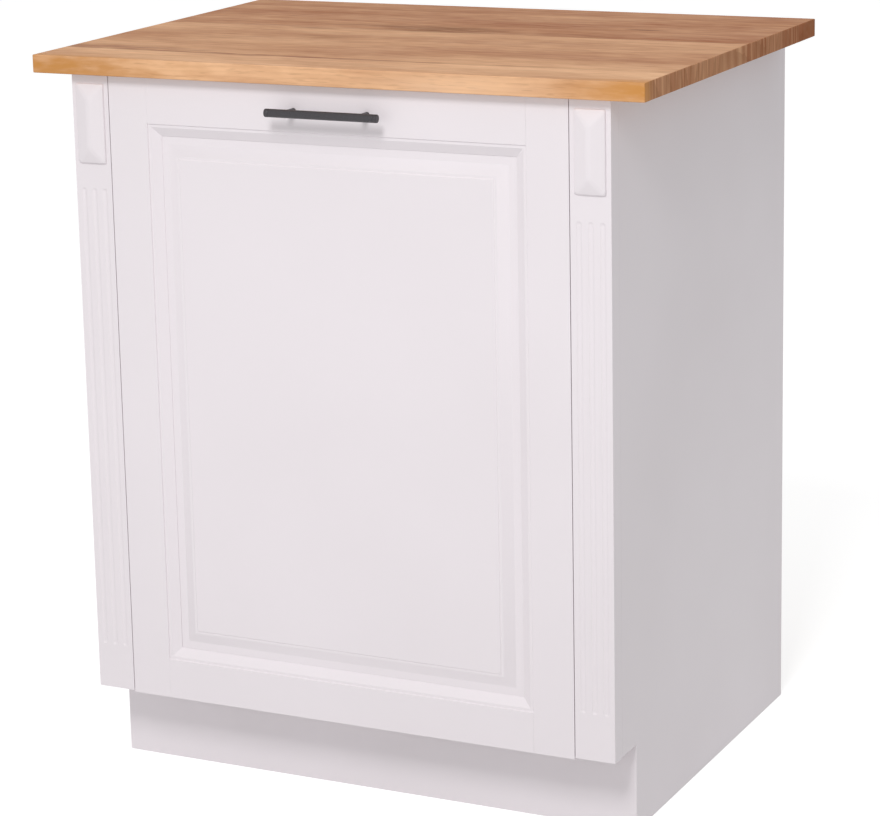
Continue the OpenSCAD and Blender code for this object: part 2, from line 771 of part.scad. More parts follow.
module cam_bolt() {
    bore_x(bolt_thread_d, 0, bolt_in);
    bore_x(bolt_d, -cam_in, 0);
    bore_x(bolt_head_d, -cam_in - bolt_head_l, -cam_in);
}

module cam_bolts() color(zinc) both_hands() {
    at_flat_cams(flat_joints) cam_bolt();
    at_rail_cam() cam_bolt();
}

// A cam lock, hollowed from its rim to past its centre for the bolt's head
module cam_lock() difference() {
    translate([-cam_in, 0, -board_t / 2]) cylinder(d = cam_d, h = cam_h);
    bore_x(bolt_bore_d, -cam_in - bolt_head_l - cam_hollow, 0);
    translate([-cam_in, 0, -board_t / 2 - eps]) cylinder(d = cam_d / 2, h = cam_slot, $fn = 6);
}

module cam_locks() color(zinc) both_hands() {
    at_flat_cams(flat_joints) cam_lock();
    at_rail_cam() rotate([90, 0, 0]) cam_lock();
}

module dowels() color(birch) both_hands() {
    at_flat_dowels(flat_joints) bore_x(dowel_d, dowel_in - dowel_l, dowel_in);
    at_rail_dowel() bore_x(dowel_d, dowel_in - dowel_l, dowel_in);
}

module batten_screws() color(zinc) both_hands() {
    at_cleat_screws() towards_x() wood_screw(batten_screw_l);
    for (z = [lower_runner_z, upper_runner_z]) {
        at_batten_screws(z) towards_x() wood_screw(batten_screw_l);
    }
}

module pilaster_screws() color(zinc) both_hands() {
    at_pilaster_screws() towards_minus_y() wood_screw(pilaster_screw_l);
}

module runner_rail_screws() color(zinc) both_hands() for (z = [lower_runner_z, upper_runner_z]) {
    at_runner_screws(rail_web_x, z) towards_x() pan_screw(runner_screw_l);
}

module runner_slide_screws() color(zinc) both_hands() for (z = [lower_runner_z, upper_runner_z]) {
    at_runner_screws(slide_web_x, z) towards_minus_x() pan_screw(runner_screw_l);
}

// The screws that hold each box together, and each box to the front
module box_screws() color(zinc) both_hands() {
    for (b = [[lower_box_z, lower_box_h], [upper_box_z, upper_box_h]]) {
        at_box_screws(b[0], b[1]) towards_minus_x() wood_screw(box_screw_l);
        at_front_screws(b[0], b[1]) towards_minus_y() wood_screw(front_screw_l);
    }
}

// Soft pads on the cabinet's front edges, which the front closes against
module bumper_pads() color("white") both_hands() for (z = [bottom_mid, stretcher_z + pad_d]) {
    translate([inner_x - pad_in, pil_t, z]) towards_minus_y() cylinder(d = pad_d, h = pad_t);
}

in_frame() side_left();
in_frame() side_right();
in_frame() bottom_board();
in_frame() stretcher_front();
in_frame() stretcher_back();
in_frame() back_panel();
in_frame() wall_rail();
in_frame() plinth_board();
in_frame() plinth_blocks();
in_frame() worktop();
in_frame() pilaster_left();
in_frame() pilaster_right();
in_frame() pilaster_block_left();
in_frame() pilaster_block_right();
in_frame() cleat_left();
in_frame() cleat_right();
in_frame() batten_lower_left();
in_frame() batten_lower_right();
in_frame() batten_upper_left();
in_frame() batten_upper_right();
in_frame() runner_rail_lower_left();
in_frame() runner_rail_lower_right();
in_frame() runner_rail_upper_left();
in_frame() runner_rail_upper_right();
in_frame() runner_middle_lower_left();
in_frame() runner_middle_lower_right();
in_frame() runner_middle_upper_left();
in_frame() runner_middle_upper_right();
in_frame() runner_slide_lower_left();
in_frame() runner_slide_lower_right();
in_frame() runner_slide_upper_left();
in_frame() runner_slide_upper_right();
in_frame() front_stile_left();
in_frame() front_stile_right();
in_frame() front_rail_top();
in_frame() front_rail_bottom();
in_frame() front_panel();
in_frame() handle_bar();
in_frame() handle_posts();
in_frame() handle_screws();
in_frame() lower_box_side_left();
in_frame() lower_box_side_right();
in_frame() lower_box_front();
in_frame() lower_box_back();
in_frame() lower_box_bottom();
in_frame() upper_box_side_left();
in_frame() upper_box_side_right();
in_frame() upper_box_front();
in_frame() upper_box_back();
in_frame() upper_box_bottom();
in_frame() worktop_screws();
in_frame() cam_bolts();
in_frame() cam_locks();
in_frame() dowels();
in_frame() batten_screws();
in_frame() pilaster_screws();
in_frame() runner_rail_screws();
in_frame() runner_slide_screws();
in_frame() box_screws();
in_frame() bumper_pads();
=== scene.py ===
import bmesh
import bpy
import json
import math
import random
from mathutils import Euler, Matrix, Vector


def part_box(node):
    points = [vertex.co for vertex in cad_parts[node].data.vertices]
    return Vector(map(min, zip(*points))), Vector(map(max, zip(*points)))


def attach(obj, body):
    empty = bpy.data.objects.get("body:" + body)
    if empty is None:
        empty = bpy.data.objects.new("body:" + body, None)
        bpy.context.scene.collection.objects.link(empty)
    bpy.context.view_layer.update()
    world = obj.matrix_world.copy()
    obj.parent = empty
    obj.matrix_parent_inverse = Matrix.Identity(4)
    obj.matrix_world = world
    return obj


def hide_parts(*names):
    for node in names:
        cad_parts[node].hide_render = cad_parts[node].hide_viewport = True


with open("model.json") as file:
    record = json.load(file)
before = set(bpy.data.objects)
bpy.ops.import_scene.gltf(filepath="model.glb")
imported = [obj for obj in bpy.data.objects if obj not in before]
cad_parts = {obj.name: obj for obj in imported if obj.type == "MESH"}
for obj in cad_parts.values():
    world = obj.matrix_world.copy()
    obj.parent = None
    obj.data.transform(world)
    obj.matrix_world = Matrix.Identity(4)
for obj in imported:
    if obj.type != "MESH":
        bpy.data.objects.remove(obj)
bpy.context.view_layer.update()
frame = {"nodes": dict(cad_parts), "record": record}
nodes = frame["nodes"]
bodyOf = {node: body for body, held in frame["record"]["behaviour"]["bodies"].items() for node in held}
print("loaded", len(nodes), "cabinet parts")


# Small tools

def linear(hexColour):
    channels = [int(hexColour[i:i + 2], 16) / 255 for i in (1, 3, 5)]
    return tuple(c / 12.92 if c <= 0.04045 else ((c + 0.055) / 1.055) ** 2.4 for c in channels) + (1.0,)


def addNode(tree, kind, inputs=None, **settings):
    # inputs go by name, or by place where names repeat: a map range leads 1 to 2 into 3 to 4, and a mix has
    # its share at 0 and its colours at 6 and 7
    node = tree.nodes.new(kind)
    for name, value in settings.items():
        setattr(node, name, value)
    for name, value in (inputs or {}).items():
        if isinstance(value, bpy.types.NodeSocket):
            tree.links.new(value, node.inputs[name])
        else:
            node.inputs[name].default_value = value
    return node


def emptyTree(holder):
    holder.use_nodes = True
    holder.node_tree.nodes.clear()
    return holder.node_tree


def newMaterial(name, surfaceInputs):
    material = bpy.data.materials.new(name)
    tree = emptyTree(material)
    surface = addNode(tree, "ShaderNodeBsdfPrincipled", surfaceInputs)
    addNode(tree, "ShaderNodeOutputMaterial", {"Surface": surface.outputs[0]})
    return material, tree, surface


def dressSurface(tree, surface, colour, sheenFrom, roughness, reliefFrom, relief, span=(0.3, 0.7)):
    # roughness follows the span of one pattern; relief is the depth and strength of the other
    tree.links.new(colour, surface.inputs["Base Color"])
    sheen = addNode(tree, "ShaderNodeMapRange", {
        "Value": sheenFrom, 1: span[0], 2: span[1], 3: roughness[0], 4: roughness[1],
    })
    tree.links.new(sheen.outputs[0], surface.inputs["Roughness"])
    if relief:
        bump = addNode(tree, "ShaderNodeBump", {
            "Height": reliefFrom, "Distance": relief[0], "Strength": relief[1],
        })
        tree.links.new(bump.outputs[0], surface.inputs["Normal"])


def dressInTwoTones(tree, surface, look, share, sheenFrom, reliefFrom):
    # share leads from the pale colour of a finish to its deep one
    colour = addNode(tree, "ShaderNodeMix", {
        0: share, 6: linear(look["pale"]), 7: linear(look["deep"]),
    }, data_type="RGBA")
    dressSurface(tree, surface, colour.outputs[2], sheenFrom, look["roughness"], reliefFrom,
                 look.get("relief"), look.get("span", (0.3, 0.7)))


# Camera, at the place that the photograph was taken from

cameraView = {
    "place": (1.6174, -3.3464, 1.3939),
    "turn": (76.8484, 1.4227, 26.7915),
    "lens": 123.991,
    "shift": (0.0795, -0.0773),
    "sensor": 36,
    "reach": 60,  # how far it sees, in metres
}

cameraData = bpy.data.cameras.new("camera")
cameraData.lens = cameraView["lens"]
cameraData.sensor_width = cameraView["sensor"]
cameraData.shift_x, cameraData.shift_y = cameraView["shift"]
cameraData.clip_end = cameraView["reach"]
camera = bpy.data.objects.new("camera", cameraData)
camera.location = cameraView["place"]
camera.rotation_euler = Euler([math.radians(a) for a in cameraView["turn"]])
bpy.context.scene.collection.objects.link(camera)
bpy.context.scene.camera = camera
bpy.context.scene.view_settings.view_transform = "Standard"
print("camera set")


# Studio: a pale floor, a white surround, a soft lamp high in front and a wide weak one low in front

studio = {
    "surroundLight": 0.56,  # light that the white room gives to the object
    "white": "#FFFFFF",
    "floorTone": "#DADADA",
    "floorReach": 14,
    "floorLift": 0.60,  # white added to the floor as it is seen, so that only its shadows show
    "aim": (0, 0, 0.5),
    "lamps": {  # place, size and power of each
        "keySoftbox": ((0.80, -3.75, 3.9), 1.2, 93),
        "frontFill": ((-0.6, -5.2, 0.9), 3.2, 30),
    },
}


def seenWhite(tree):
    rays = addNode(tree, "ShaderNodeLightPath")
    direct = addNode(tree, "ShaderNodeMath", {
        0: rays.outputs["Is Camera Ray"], 1: rays.outputs["Is Glossy Ray"],
    }, operation="MAXIMUM")
    return addNode(tree, "ShaderNodeMath", {
        0: direct.outputs[0], 1: rays.outputs["Is Transmission Ray"],
    }, operation="MAXIMUM").outputs[0]


white = linear(studio["white"])
world = bpy.data.worlds.new("studioRoom")
bpy.context.scene.world = world
room = emptyTree(world)
roomLight = addNode(room, "ShaderNodeBackground", {"Color": white, "Strength": studio["surroundLight"]})
roomWhite = addNode(room, "ShaderNodeBackground", {"Color": white})
roomMix = addNode(room, "ShaderNodeMixShader", {
    0: seenWhite(room), 1: roomLight.outputs[0], 2: roomWhite.outputs[0],
})
addNode(room, "ShaderNodeOutputWorld", {"Surface": roomMix.outputs[0]})

# matt seamless paper: an even white with a soft shadow
paperFloor = bpy.data.materials.new("whitePaperSweep")
paper = emptyTree(paperFloor)
paperPlain = addNode(paper, "ShaderNodeBsdfDiffuse", {"Color": linear(studio["floorTone"])})
paperLift = addNode(paper, "ShaderNodeMath", {
    0: seenWhite(paper), 1: studio["floorLift"],
}, operation="MULTIPLY")
paperGlow = addNode(paper, "ShaderNodeEmission", {"Color": white, "Strength": paperLift.outputs[0]})
paperBoth = addNode(paper, "ShaderNodeAddShader", {0: paperPlain.outputs[0], 1: paperGlow.outputs[0]})
addNode(paper, "ShaderNodeOutputMaterial", {"Surface": paperBoth.outputs[0]})

floorShape = bmesh.new()
bmesh.ops.create_grid(floorShape, x_segments=8, y_segments=8, size=studio["floorReach"])
floorMesh = bpy.data.meshes.new("studioFloor")
floorShape.to_mesh(floorMesh)
floorShape.free()
floorMesh.materials.append(paperFloor)
floor = bpy.data.objects.new("studioFloor", floorMesh)
bpy.context.scene.collection.objects.link(floor)

for lampName, (lampPlace, lampSize, lampPower) in studio["lamps"].items():
    lamp = bpy.data.lights.new(lampName, "AREA")
    lamp.shape = "SQUARE"
    lamp.size = lampSize
    lamp.energy = lampPower
    softbox = bpy.data.objects.new(lampName, lamp)
    softbox.location = lampPlace
    lampWay = Vector(studio["aim"]) - Vector(lampPlace)
    softbox.rotation_euler = lampWay.to_track_quat("-Z", "Y").to_euler()
    bpy.context.scene.collection.objects.link(softbox)
print("studio set")


# Solid wood: growth rings about a pith line beside each board, fibre streaks and pores.
# The rings show as arcs on cut ends and as long flames on the faces, as in a sawn board.

sawnBoard = {
    "jump": (13.7, 9.1, 5.3),  # metres between the patterns of two boards
    "bends": (2.2, 9, 9),  # bends of the trunk per metre along, across and through
    "pithSide": (7.31, -0.05, 0.05),  # scatter of the pith, and its limits beside the board
    "pithDepth": (3.77, -0.03, -0.09),  # the same below the board
    "ringOpening": 0.012,  # what a ring opens for each metre along the board
    "fibresAlong": 5,
    "streaks": (3.2, 11, 11),  # broad streaks per metre
    "patches": (26, 105, 105),  # small patches per metre
    "cutFibre": 0.3,  # share of the fibres and pores that shows on a cut end
    "relief": (0.0002, 0.35),  # depth and strength
}

# oak under oil: golden to reddish staves with short dark pores and a low sheen
oakLook = {
    "name": "oiledOakStaves",
    "pale": "#F1C095", "deep": "#9D5C36", "ring": "#845029", "pore": "#7A4A2A", "cut": "#94623F",
    "ringGap": 0.0062, "ringShow": 0.07, "endRings": 9.0, "endShow": 4.0,
    "fibreWidth": 0.0060, "fibreShow": 0.05, "poreWidth": 0.0018, "poreLength": 0.026, "poreShow": 0.20,
    "streakShow": 0.22, "patchShow": 0.12, "waviness": 0.034, "cutDark": 0.05,
    "roughness": (0.55, 0.70), "shine": 0.10,
    # what this top shows: middle, reach to each side, colour and strength
    "marks": (
        ((-0.010, 0.060, 0.908), (0.125, 0.042, 0.02), "#85552F", 0.85),  # dark heartwood
        ((-0.105, 0.072, 0.908), (0.110, 0.014, 0.02), "#8A5A38", 0.60),
        ((0.150, 0.050, 0.908), (0.120, 0.014, 0.02), "#9A6744", 0.45),
        ((0.234, 0.124, 0.908), (0.040, 0.006, 0.02), "#6E3F28", 0.95),  # small knot
        ((-0.125, -0.045, 0.908), (0.060, 0.024, 0.02), "#9C6B45", 0.50),
        ((-0.180, 0.028, 0.908), (0.040, 0.009, 0.02), "#8E5F40", 0.60),
        ((-0.200, -0.2135, 0.908), (0.520, 0.0065, 0.02), "#91603F", 0.80),  # beside the first joint
        ((-0.390, -0.196, 0.908), (0.300, 0.026, 0.02), "#98664A", 0.75),
        ((0.060, -0.297, 0.897), (0.260, 0.012, 0.03), "#FBD6B6", 1.0),  # painted light: the middle of the front face made paler
        ((-0.060, -0.216, 0.908), (0.420, 0.013, 0.03), "#8E4F34", 0.75),  # red streak at the joint
        ((-0.420, -0.292, 0.897), (0.330, 0.030, 0.04), "#C98D4C", 1.0),  # golden ends of the front
        ((0.420, -0.292, 0.897), (0.170, 0.030, 0.04), "#D09250", 1.0),
    ),
}
# planed pine: pale yellow with wide clear rings
pineLook = {
    "name": "planedPine",
    "pale": "#E5C795", "deep": "#CFA468", "ring": "#B98548", "pore": "#B08551", "cut": "#C39B65",
    "ringGap": 0.0036, "ringShow": 0.45, "endRings": 1.0, "endShow": 2.2,
    "fibreWidth": 0.0030, "fibreShow": 0.13, "poreWidth": 0.0010, "poreLength": 0.010, "poreShow": 0.08,
    "streakShow": 0.17, "patchShow": 0.05, "waviness": 0.014, "cutDark": 0.35,
    "roughness": (0.55, 0.7), "shine": 0.35,
}
# turned beech: even pinkish brown with short fine flecks
beechLook = {
    "name": "turnedBeechDowel",
    "pale": "#D9B286", "deep": "#C2946A", "ring": "#B58560", "pore": "#9C6E4C", "cut": "#B88C65",
    "ringGap": 0.0030, "ringShow": 0.15, "endRings": 1.0, "endShow": 2.2,
    "fibreWidth": 0.0015, "fibreShow": 0.13, "poreWidth": 0.0008, "poreLength": 0.003, "poreShow": 0.35,
    "streakShow": 0.17, "patchShow": 0.05, "waviness": 0.006, "cutDark": 0.25,
    "roughness": (0.5, 0.62), "shine": 0.35,
}


def addMarks(tree, colour, marks, wave, mottle):
    # stains, and painted light on the front face, that bend with the grain and break up in its small
    # patches
    place = addNode(tree, "ShaderNodeTexCoord").outputs["Object"]
    bent = addNode(tree, "ShaderNodeVectorMath", {0: place, 1: wave}, operation="ADD")
    grainy = addNode(tree, "ShaderNodeMapRange", {"Value": mottle, 1: 0.35, 2: 0.60, 3: 0.40}).outputs[0]
    for middle, reach, stainAndPaintedLight, strength in marks:
        away = addNode(tree, "ShaderNodeVectorMath", {0: bent.outputs[0], 1: middle}, operation="SUBTRACT")
        scaled = addNode(tree, "ShaderNodeVectorMath", {0: away.outputs[0], 1: reach}, operation="DIVIDE")
        distance = addNode(tree, "ShaderNodeVectorMath", {0: scaled.outputs[0]}, operation="LENGTH")
        fade = addNode(tree, "ShaderNodeMapRange", {
            "Value": distance.outputs["Value"], 1: 0.1, 3: strength, 4: 0,
        }, interpolation_type="SMOOTHSTEP")
        share = addNode(tree, "ShaderNodeMath", {0: fade.outputs[0], 1: grainy}, operation="MULTIPLY")
        colour = addNode(tree, "ShaderNodeMix", {
            0: share.outputs[0], 6: colour, 7: linear(stainAndPaintedLight),
        }, data_type="RGBA").outputs[2]
    return colour


def solidWood(look, fromAttribute=True):
    material, tree, surface = newMaterial(look["name"], {"IOR": 1.47, "Specular IOR Level": look["shine"]})
    if fromAttribute:
        board, stave, tone, cut = [
            addNode(tree, "ShaderNodeAttribute", attribute_name=name).outputs[output]
            for name, output in (("board", "Vector"), ("stave", "Fac"), ("tone", "Fac"), ("cutEnd", "Fac"))
        ]
    else:
        board = addNode(tree, "ShaderNodeTexCoord").outputs["Object"]
        stave, tone, cut = 0.5, 0.5, 0.0

    # each board has a pattern and a pith of its own
    jump = addNode(tree, "ShaderNodeCombineXYZ")
    for axis, reach in enumerate(sawnBoard["jump"]):
        move = addNode(tree, "ShaderNodeMath", {0: stave, 1: reach}, operation="MULTIPLY")
        tree.links.new(move.outputs[0], jump.inputs[axis])
    own = addNode(tree, "ShaderNodeVectorMath", {0: board, 1: jump.outputs[0]}, operation="ADD").outputs[0]
    pith = addNode(tree, "ShaderNodeCombineXYZ")
    for axis, (scatter, near, far) in ((1, sawnBoard["pithSide"]), (2, sawnBoard["pithDepth"])):
        spun = addNode(tree, "ShaderNodeMath", {0: stave, 1: scatter}, operation="MULTIPLY")
        share = addNode(tree, "ShaderNodeMath", {0: spun.outputs[0]}, operation="FRACT")
        limited = addNode(tree, "ShaderNodeMapRange", {"Value": share.outputs[0], 3: near, 4: far})
        tree.links.new(limited.outputs[0], pith.inputs[axis])

    patterns = []
    for perMetre, detail in (
        (sawnBoard["bends"], 2),
        ((sawnBoard["fibresAlong"], 1 / look["fibreWidth"], 1 / look["fibreWidth"]), 4),
        (sawnBoard["streaks"], 1.5),
        (sawnBoard["patches"], 3),
        ((1 / look["poreLength"], 1 / look["poreWidth"], 1 / look["poreWidth"]), 1),
    ):
        stretched = addNode(tree, "ShaderNodeVectorMath", {0: own, 1: perMetre}, operation="MULTIPLY")
        patterns.append(addNode(tree, "ShaderNodeTexNoise", {
            "Vector": stretched.outputs[0], "Scale": 1, "Detail": detail,
        }))
    fibre, heart, mottle, pores = [p.outputs[0] for p in patterns[1:]]

    # rings: the slow bends of the trunk turn them into flames, and on cut ends they are drawn wider and
    # stronger than they are, so that they show from a step away
    wave = patterns[0].outputs["Color"]
    sway = (0, look["waviness"], look["waviness"])
    for operation, by in (("SUBTRACT", (0.5, 0.5, 0.5)), ("MULTIPLY", sway)):
        wave = addNode(tree, "ShaderNodeVectorMath", {0: wave, 1: by}, operation=operation).outputs[0]
    across = board
    for operation, by in (
        ("ADD", wave), ("SUBTRACT", pith.outputs[0]), ("MULTIPLY", (sawnBoard["ringOpening"], 1, 1)),
    ):
        across = addNode(tree, "ShaderNodeVectorMath", {0: across, 1: by}, operation=operation).outputs[0]
    radius = addNode(tree, "ShaderNodeVectorMath", {0: across}, operation="LENGTH")
    ringsPerMetre = addNode(tree, "ShaderNodeMapRange", {
        "Value": cut, 3: 1 / look["ringGap"], 4: 1 / (look["ringGap"] * look["endRings"]),
    })
    turns = addNode(tree, "ShaderNodeMath", {
        0: radius.outputs["Value"], 1: ringsPerMetre.outputs[0],
    }, operation="MULTIPLY")
    yearly = addNode(tree, "ShaderNodeMath", {0: turns.outputs[0]}, operation="FRACT")
    lateWood = addNode(tree, "ShaderNodeMapRange", {
        "Value": yearly.outputs[0], 1: 0.35, 2: 0.95, 4: look["ringShow"],
    }, interpolation_type="SMOOTHSTEP")
    endShow = addNode(tree, "ShaderNodeMapRange", {"Value": cut, 3: 1.0, 4: look["endShow"]})
    ringShare = addNode(tree, "ShaderNodeMath", {
        0: lateWood.outputs[0], 1: endShow.outputs[0],
    }, operation="MULTIPLY")

    # fibres and pores run into a cut end, so they show less there
    calm = addNode(tree, "ShaderNodeMapRange", {"Value": cut, 3: 1.0, 4: sawnBoard["cutFibre"]}).outputs[0]
    for pattern, swing, share in (
        (fibre, look["fibreShow"], calm), (heart, look["streakShow"], 1), (mottle, look["patchShow"], calm),
    ):
        drift = addNode(tree, "ShaderNodeMapRange", {"Value": pattern, 1: 0.3, 2: 0.7, 3: -swing, 4: swing})
        kept = addNode(tree, "ShaderNodeMath", {0: drift.outputs[0], 1: share}, operation="MULTIPLY")
        tone = addNode(tree, "ShaderNodeMath", {0: tone, 1: kept.outputs[0]}, operation="ADD").outputs[0]
    toneKept = addNode(tree, "ShaderNodeClamp", {"Value": tone})
    poreShare = addNode(tree, "ShaderNodeMapRange", {"Value": pores, 1: 0.60, 2: 0.72, 4: look["poreShow"]})
    poreMask = addNode(tree, "ShaderNodeMath", {0: poreShare.outputs[0], 1: calm}, operation="MULTIPLY")
    cutShare = addNode(tree, "ShaderNodeMath", {0: cut, 1: look["cutDark"]}, operation="MULTIPLY")

    colour = linear(look["pale"])
    for share, shade in ((toneKept, "deep"), (ringShare, "ring"), (poreMask, "pore"), (cutShare, "cut")):
        colour = addNode(tree, "ShaderNodeMix", {
            0: share.outputs[0], 6: colour, 7: linear(look[shade]),
        }, data_type="RGBA").outputs[2]
    if "marks" in look:
        colour = addMarks(tree, colour, look["marks"], wave, mottle)

    hollow = addNode(tree, "ShaderNodeMath", {0: fibre, 1: poreMask.outputs[0]}, operation="SUBTRACT")
    depth, strength = sawnBoard["relief"]
    reliefShare = addNode(tree, "ShaderNodeMath", {0: calm, 1: strength}, operation="MULTIPLY")
    dressSurface(tree, surface, colour, fibre, look["roughness"], hollow.outputs[0],
                 (depth, reliefShare.outputs[0]))
    return material


# Birch plywood: peeled veneer with broad flames on the faces, and crossed layers that stripe the edges

plywood = {
    "name": "lacqueredBirchPlywood",
    "pale": "#E8CFA4", "deep": "#D2AC78", "crossed": "#B58A59", "glue": "#8B6440",
    "layer": 0.0014,  # veneers are 1.4 mm thick
    "jump": 11.3,
    "flameWidth": 0.035,
    "flamesAlong": 2.5,
    "contours": 16,  # lines that the knife draws in each flame
    "fibres": (14, 700, 700),
    "roughness": (0.38, 0.52),
    "relief": (0.00008, 0.4),
}


def birchPlywood():
    material, tree, surface = newMaterial(plywood["name"], {
        "IOR": 1.5, "Specular IOR Level": 0.45, "Coat Weight": 0.15, "Coat Roughness": 0.25,
    })
    board, stave, edge = [
        addNode(tree, "ShaderNodeAttribute", attribute_name=name).outputs[output]
        for name, output in (("board", "Vector"), ("stave", "Fac"), ("cutAny", "Fac"))
    ]
    move = addNode(tree, "ShaderNodeMath", {0: stave, 1: plywood["jump"]}, operation="MULTIPLY")
    own = addNode(tree, "ShaderNodeVectorMath", {0: board, 1: move.outputs[0]}, operation="ADD").outputs[0]
    long = addNode(tree, "ShaderNodeVectorMath", {
        0: own, 1: (plywood["flamesAlong"], 1 / plywood["flameWidth"], 1),
    }, operation="MULTIPLY")
    flame = addNode(tree, "ShaderNodeTexNoise", {"Vector": long.outputs[0], "Scale": 1, "Detail": 2})
    steps = addNode(tree, "ShaderNodeMath", {
        0: flame.outputs[0], 1: plywood["contours"],
    }, operation="MULTIPLY")
    contour = addNode(tree, "ShaderNodeMath", {0: steps.outputs[0]}, operation="FRACT")
    line = addNode(tree, "ShaderNodeMapRange", {"Value": contour.outputs[0], 1: 0.45, 4: 0.55})
    thin = addNode(tree, "ShaderNodeVectorMath", {0: own, 1: plywood["fibres"]}, operation="MULTIPLY")
    fibre = addNode(tree, "ShaderNodeTexNoise", {
        "Vector": thin.outputs[0], "Scale": 1, "Detail": 3,
    }).outputs[0]
    fibreShift = addNode(tree, "ShaderNodeMapRange", {"Value": fibre, 1: 0.3, 2: 0.7, 3: -0.2, 4: 0.25})
    mixed = addNode(tree, "ShaderNodeMath", {
        0: line.outputs[0], 1: fibreShift.outputs[0],
    }, operation="ADD", use_clamp=True)
    # the cut edge: every second veneer is crossed, with a dark glue line between two
    depth = addNode(tree, "ShaderNodeSeparateXYZ", {0: board}).outputs["Z"]
    pairs = addNode(tree, "ShaderNodeMath", {0: depth, 1: 0.5 / plywood["layer"]}, operation="MULTIPLY")
    phase = addNode(tree, "ShaderNodeMath", {0: pairs.outputs[0]}, operation="FRACT")
    crossed = addNode(tree, "ShaderNodeMapRange", {"Value": phase.outputs[0], 1: 0.47, 2: 0.53})
    single = addNode(tree, "ShaderNodeMath", {0: pairs.outputs[0], 1: 2}, operation="MULTIPLY")
    toLine = addNode(tree, "ShaderNodeMath", {0: single.outputs[0], 1: 1}, operation="PINGPONG")
    glue = addNode(tree, "ShaderNodeMapRange", {"Value": toLine.outputs[0], 2: 0.14, 3: 0.5, 4: 0})
    tones = {name: linear(plywood[name]) for name in ("pale", "deep", "crossed", "glue")}
    for name, share, low, high in (
        ("face", mixed.outputs[0], "pale", "deep"), ("layer", crossed.outputs[0], "pale", "crossed"),
        ("layered", glue.outputs[0], "layer", "glue"), ("whole", edge, "face", "layered"),
    ):
        tones[name] = addNode(tree, "ShaderNodeMix", {
            0: share, 6: tones[low], 7: tones[high],
        }, data_type="RGBA").outputs[2]
    dressSurface(tree, surface, tones["whole"], fibre, plywood["roughness"], fibre, plywood["relief"])
    return material


# Sawn chipboard: pressed flakes of 1 to 4 mm in several browns, rough and dull

chipboardLook = {
    "name": "sawnChipboardEdge", "pale": "#C9A877", "deep": "#8E6B43", "flakes": 420,
    "roughness": (0.75, 0.95), "span": (0, 1), "relief": (0.0003, 0.6),
}


def sawnChipboard():
    material, tree, surface = newMaterial(chipboardLook["name"], {"IOR": 1.45, "Specular IOR Level": 0.25})
    place = addNode(tree, "ShaderNodeTexCoord").outputs["Object"]
    flakes = addNode(tree, "ShaderNodeTexVoronoi", {
        "Vector": place, "Scale": chipboardLook["flakes"],
    }, feature="F1")
    split = addNode(tree, "ShaderNodeSeparateColor", {0: flakes.outputs["Color"]})
    dressInTwoTones(tree, surface, chipboardLook, split.outputs[0], split.outputs[1], flakes.outputs[0])
    return material


# Hardboard: wet pressed fibre, brown and mottled on its bare back

hardboardLook = {
    "name": "bareHardboardBack", "pale": "#7E5B3E", "deep": "#A27C58", "mottle": 9, "fibres": 600,
    "roughness": (0.62, 0.82), "relief": (0.0001, 0.5),
}


def bareHardboard():
    material, tree, surface = newMaterial(hardboardLook["name"], {"IOR": 1.45, "Specular IOR Level": 0.3})
    place = addNode(tree, "ShaderNodeTexCoord").outputs["Object"]
    mottle = addNode(tree, "ShaderNodeTexNoise", {
        "Vector": place, "Scale": hardboardLook["mottle"], "Detail": 6, "Roughness": 0.7,
    })
    fibre = addNode(tree, "ShaderNodeTexNoise", {
        "Vector": place, "Scale": hardboardLook["fibres"], "Detail": 3,
    }).outputs[0]
    both = addNode(tree, "ShaderNodeMath", {0: mottle.outputs[0], 1: fibre}, operation="MULTIPLY")
    share = addNode(tree, "ShaderNodeMapRange", {"Value": both.outputs[0], 1: 0.12, 2: 0.40})
    dressInTwoTones(tree, surface, hardboardLook, share.outputs[0], fibre, fibre)
    return material


# Even finishes: the first pattern leads from the pale to the deep colour, the last sets the relief and,
# where nothing else is said, the sheen. A pattern is given as its scale, per metre, and its detail.

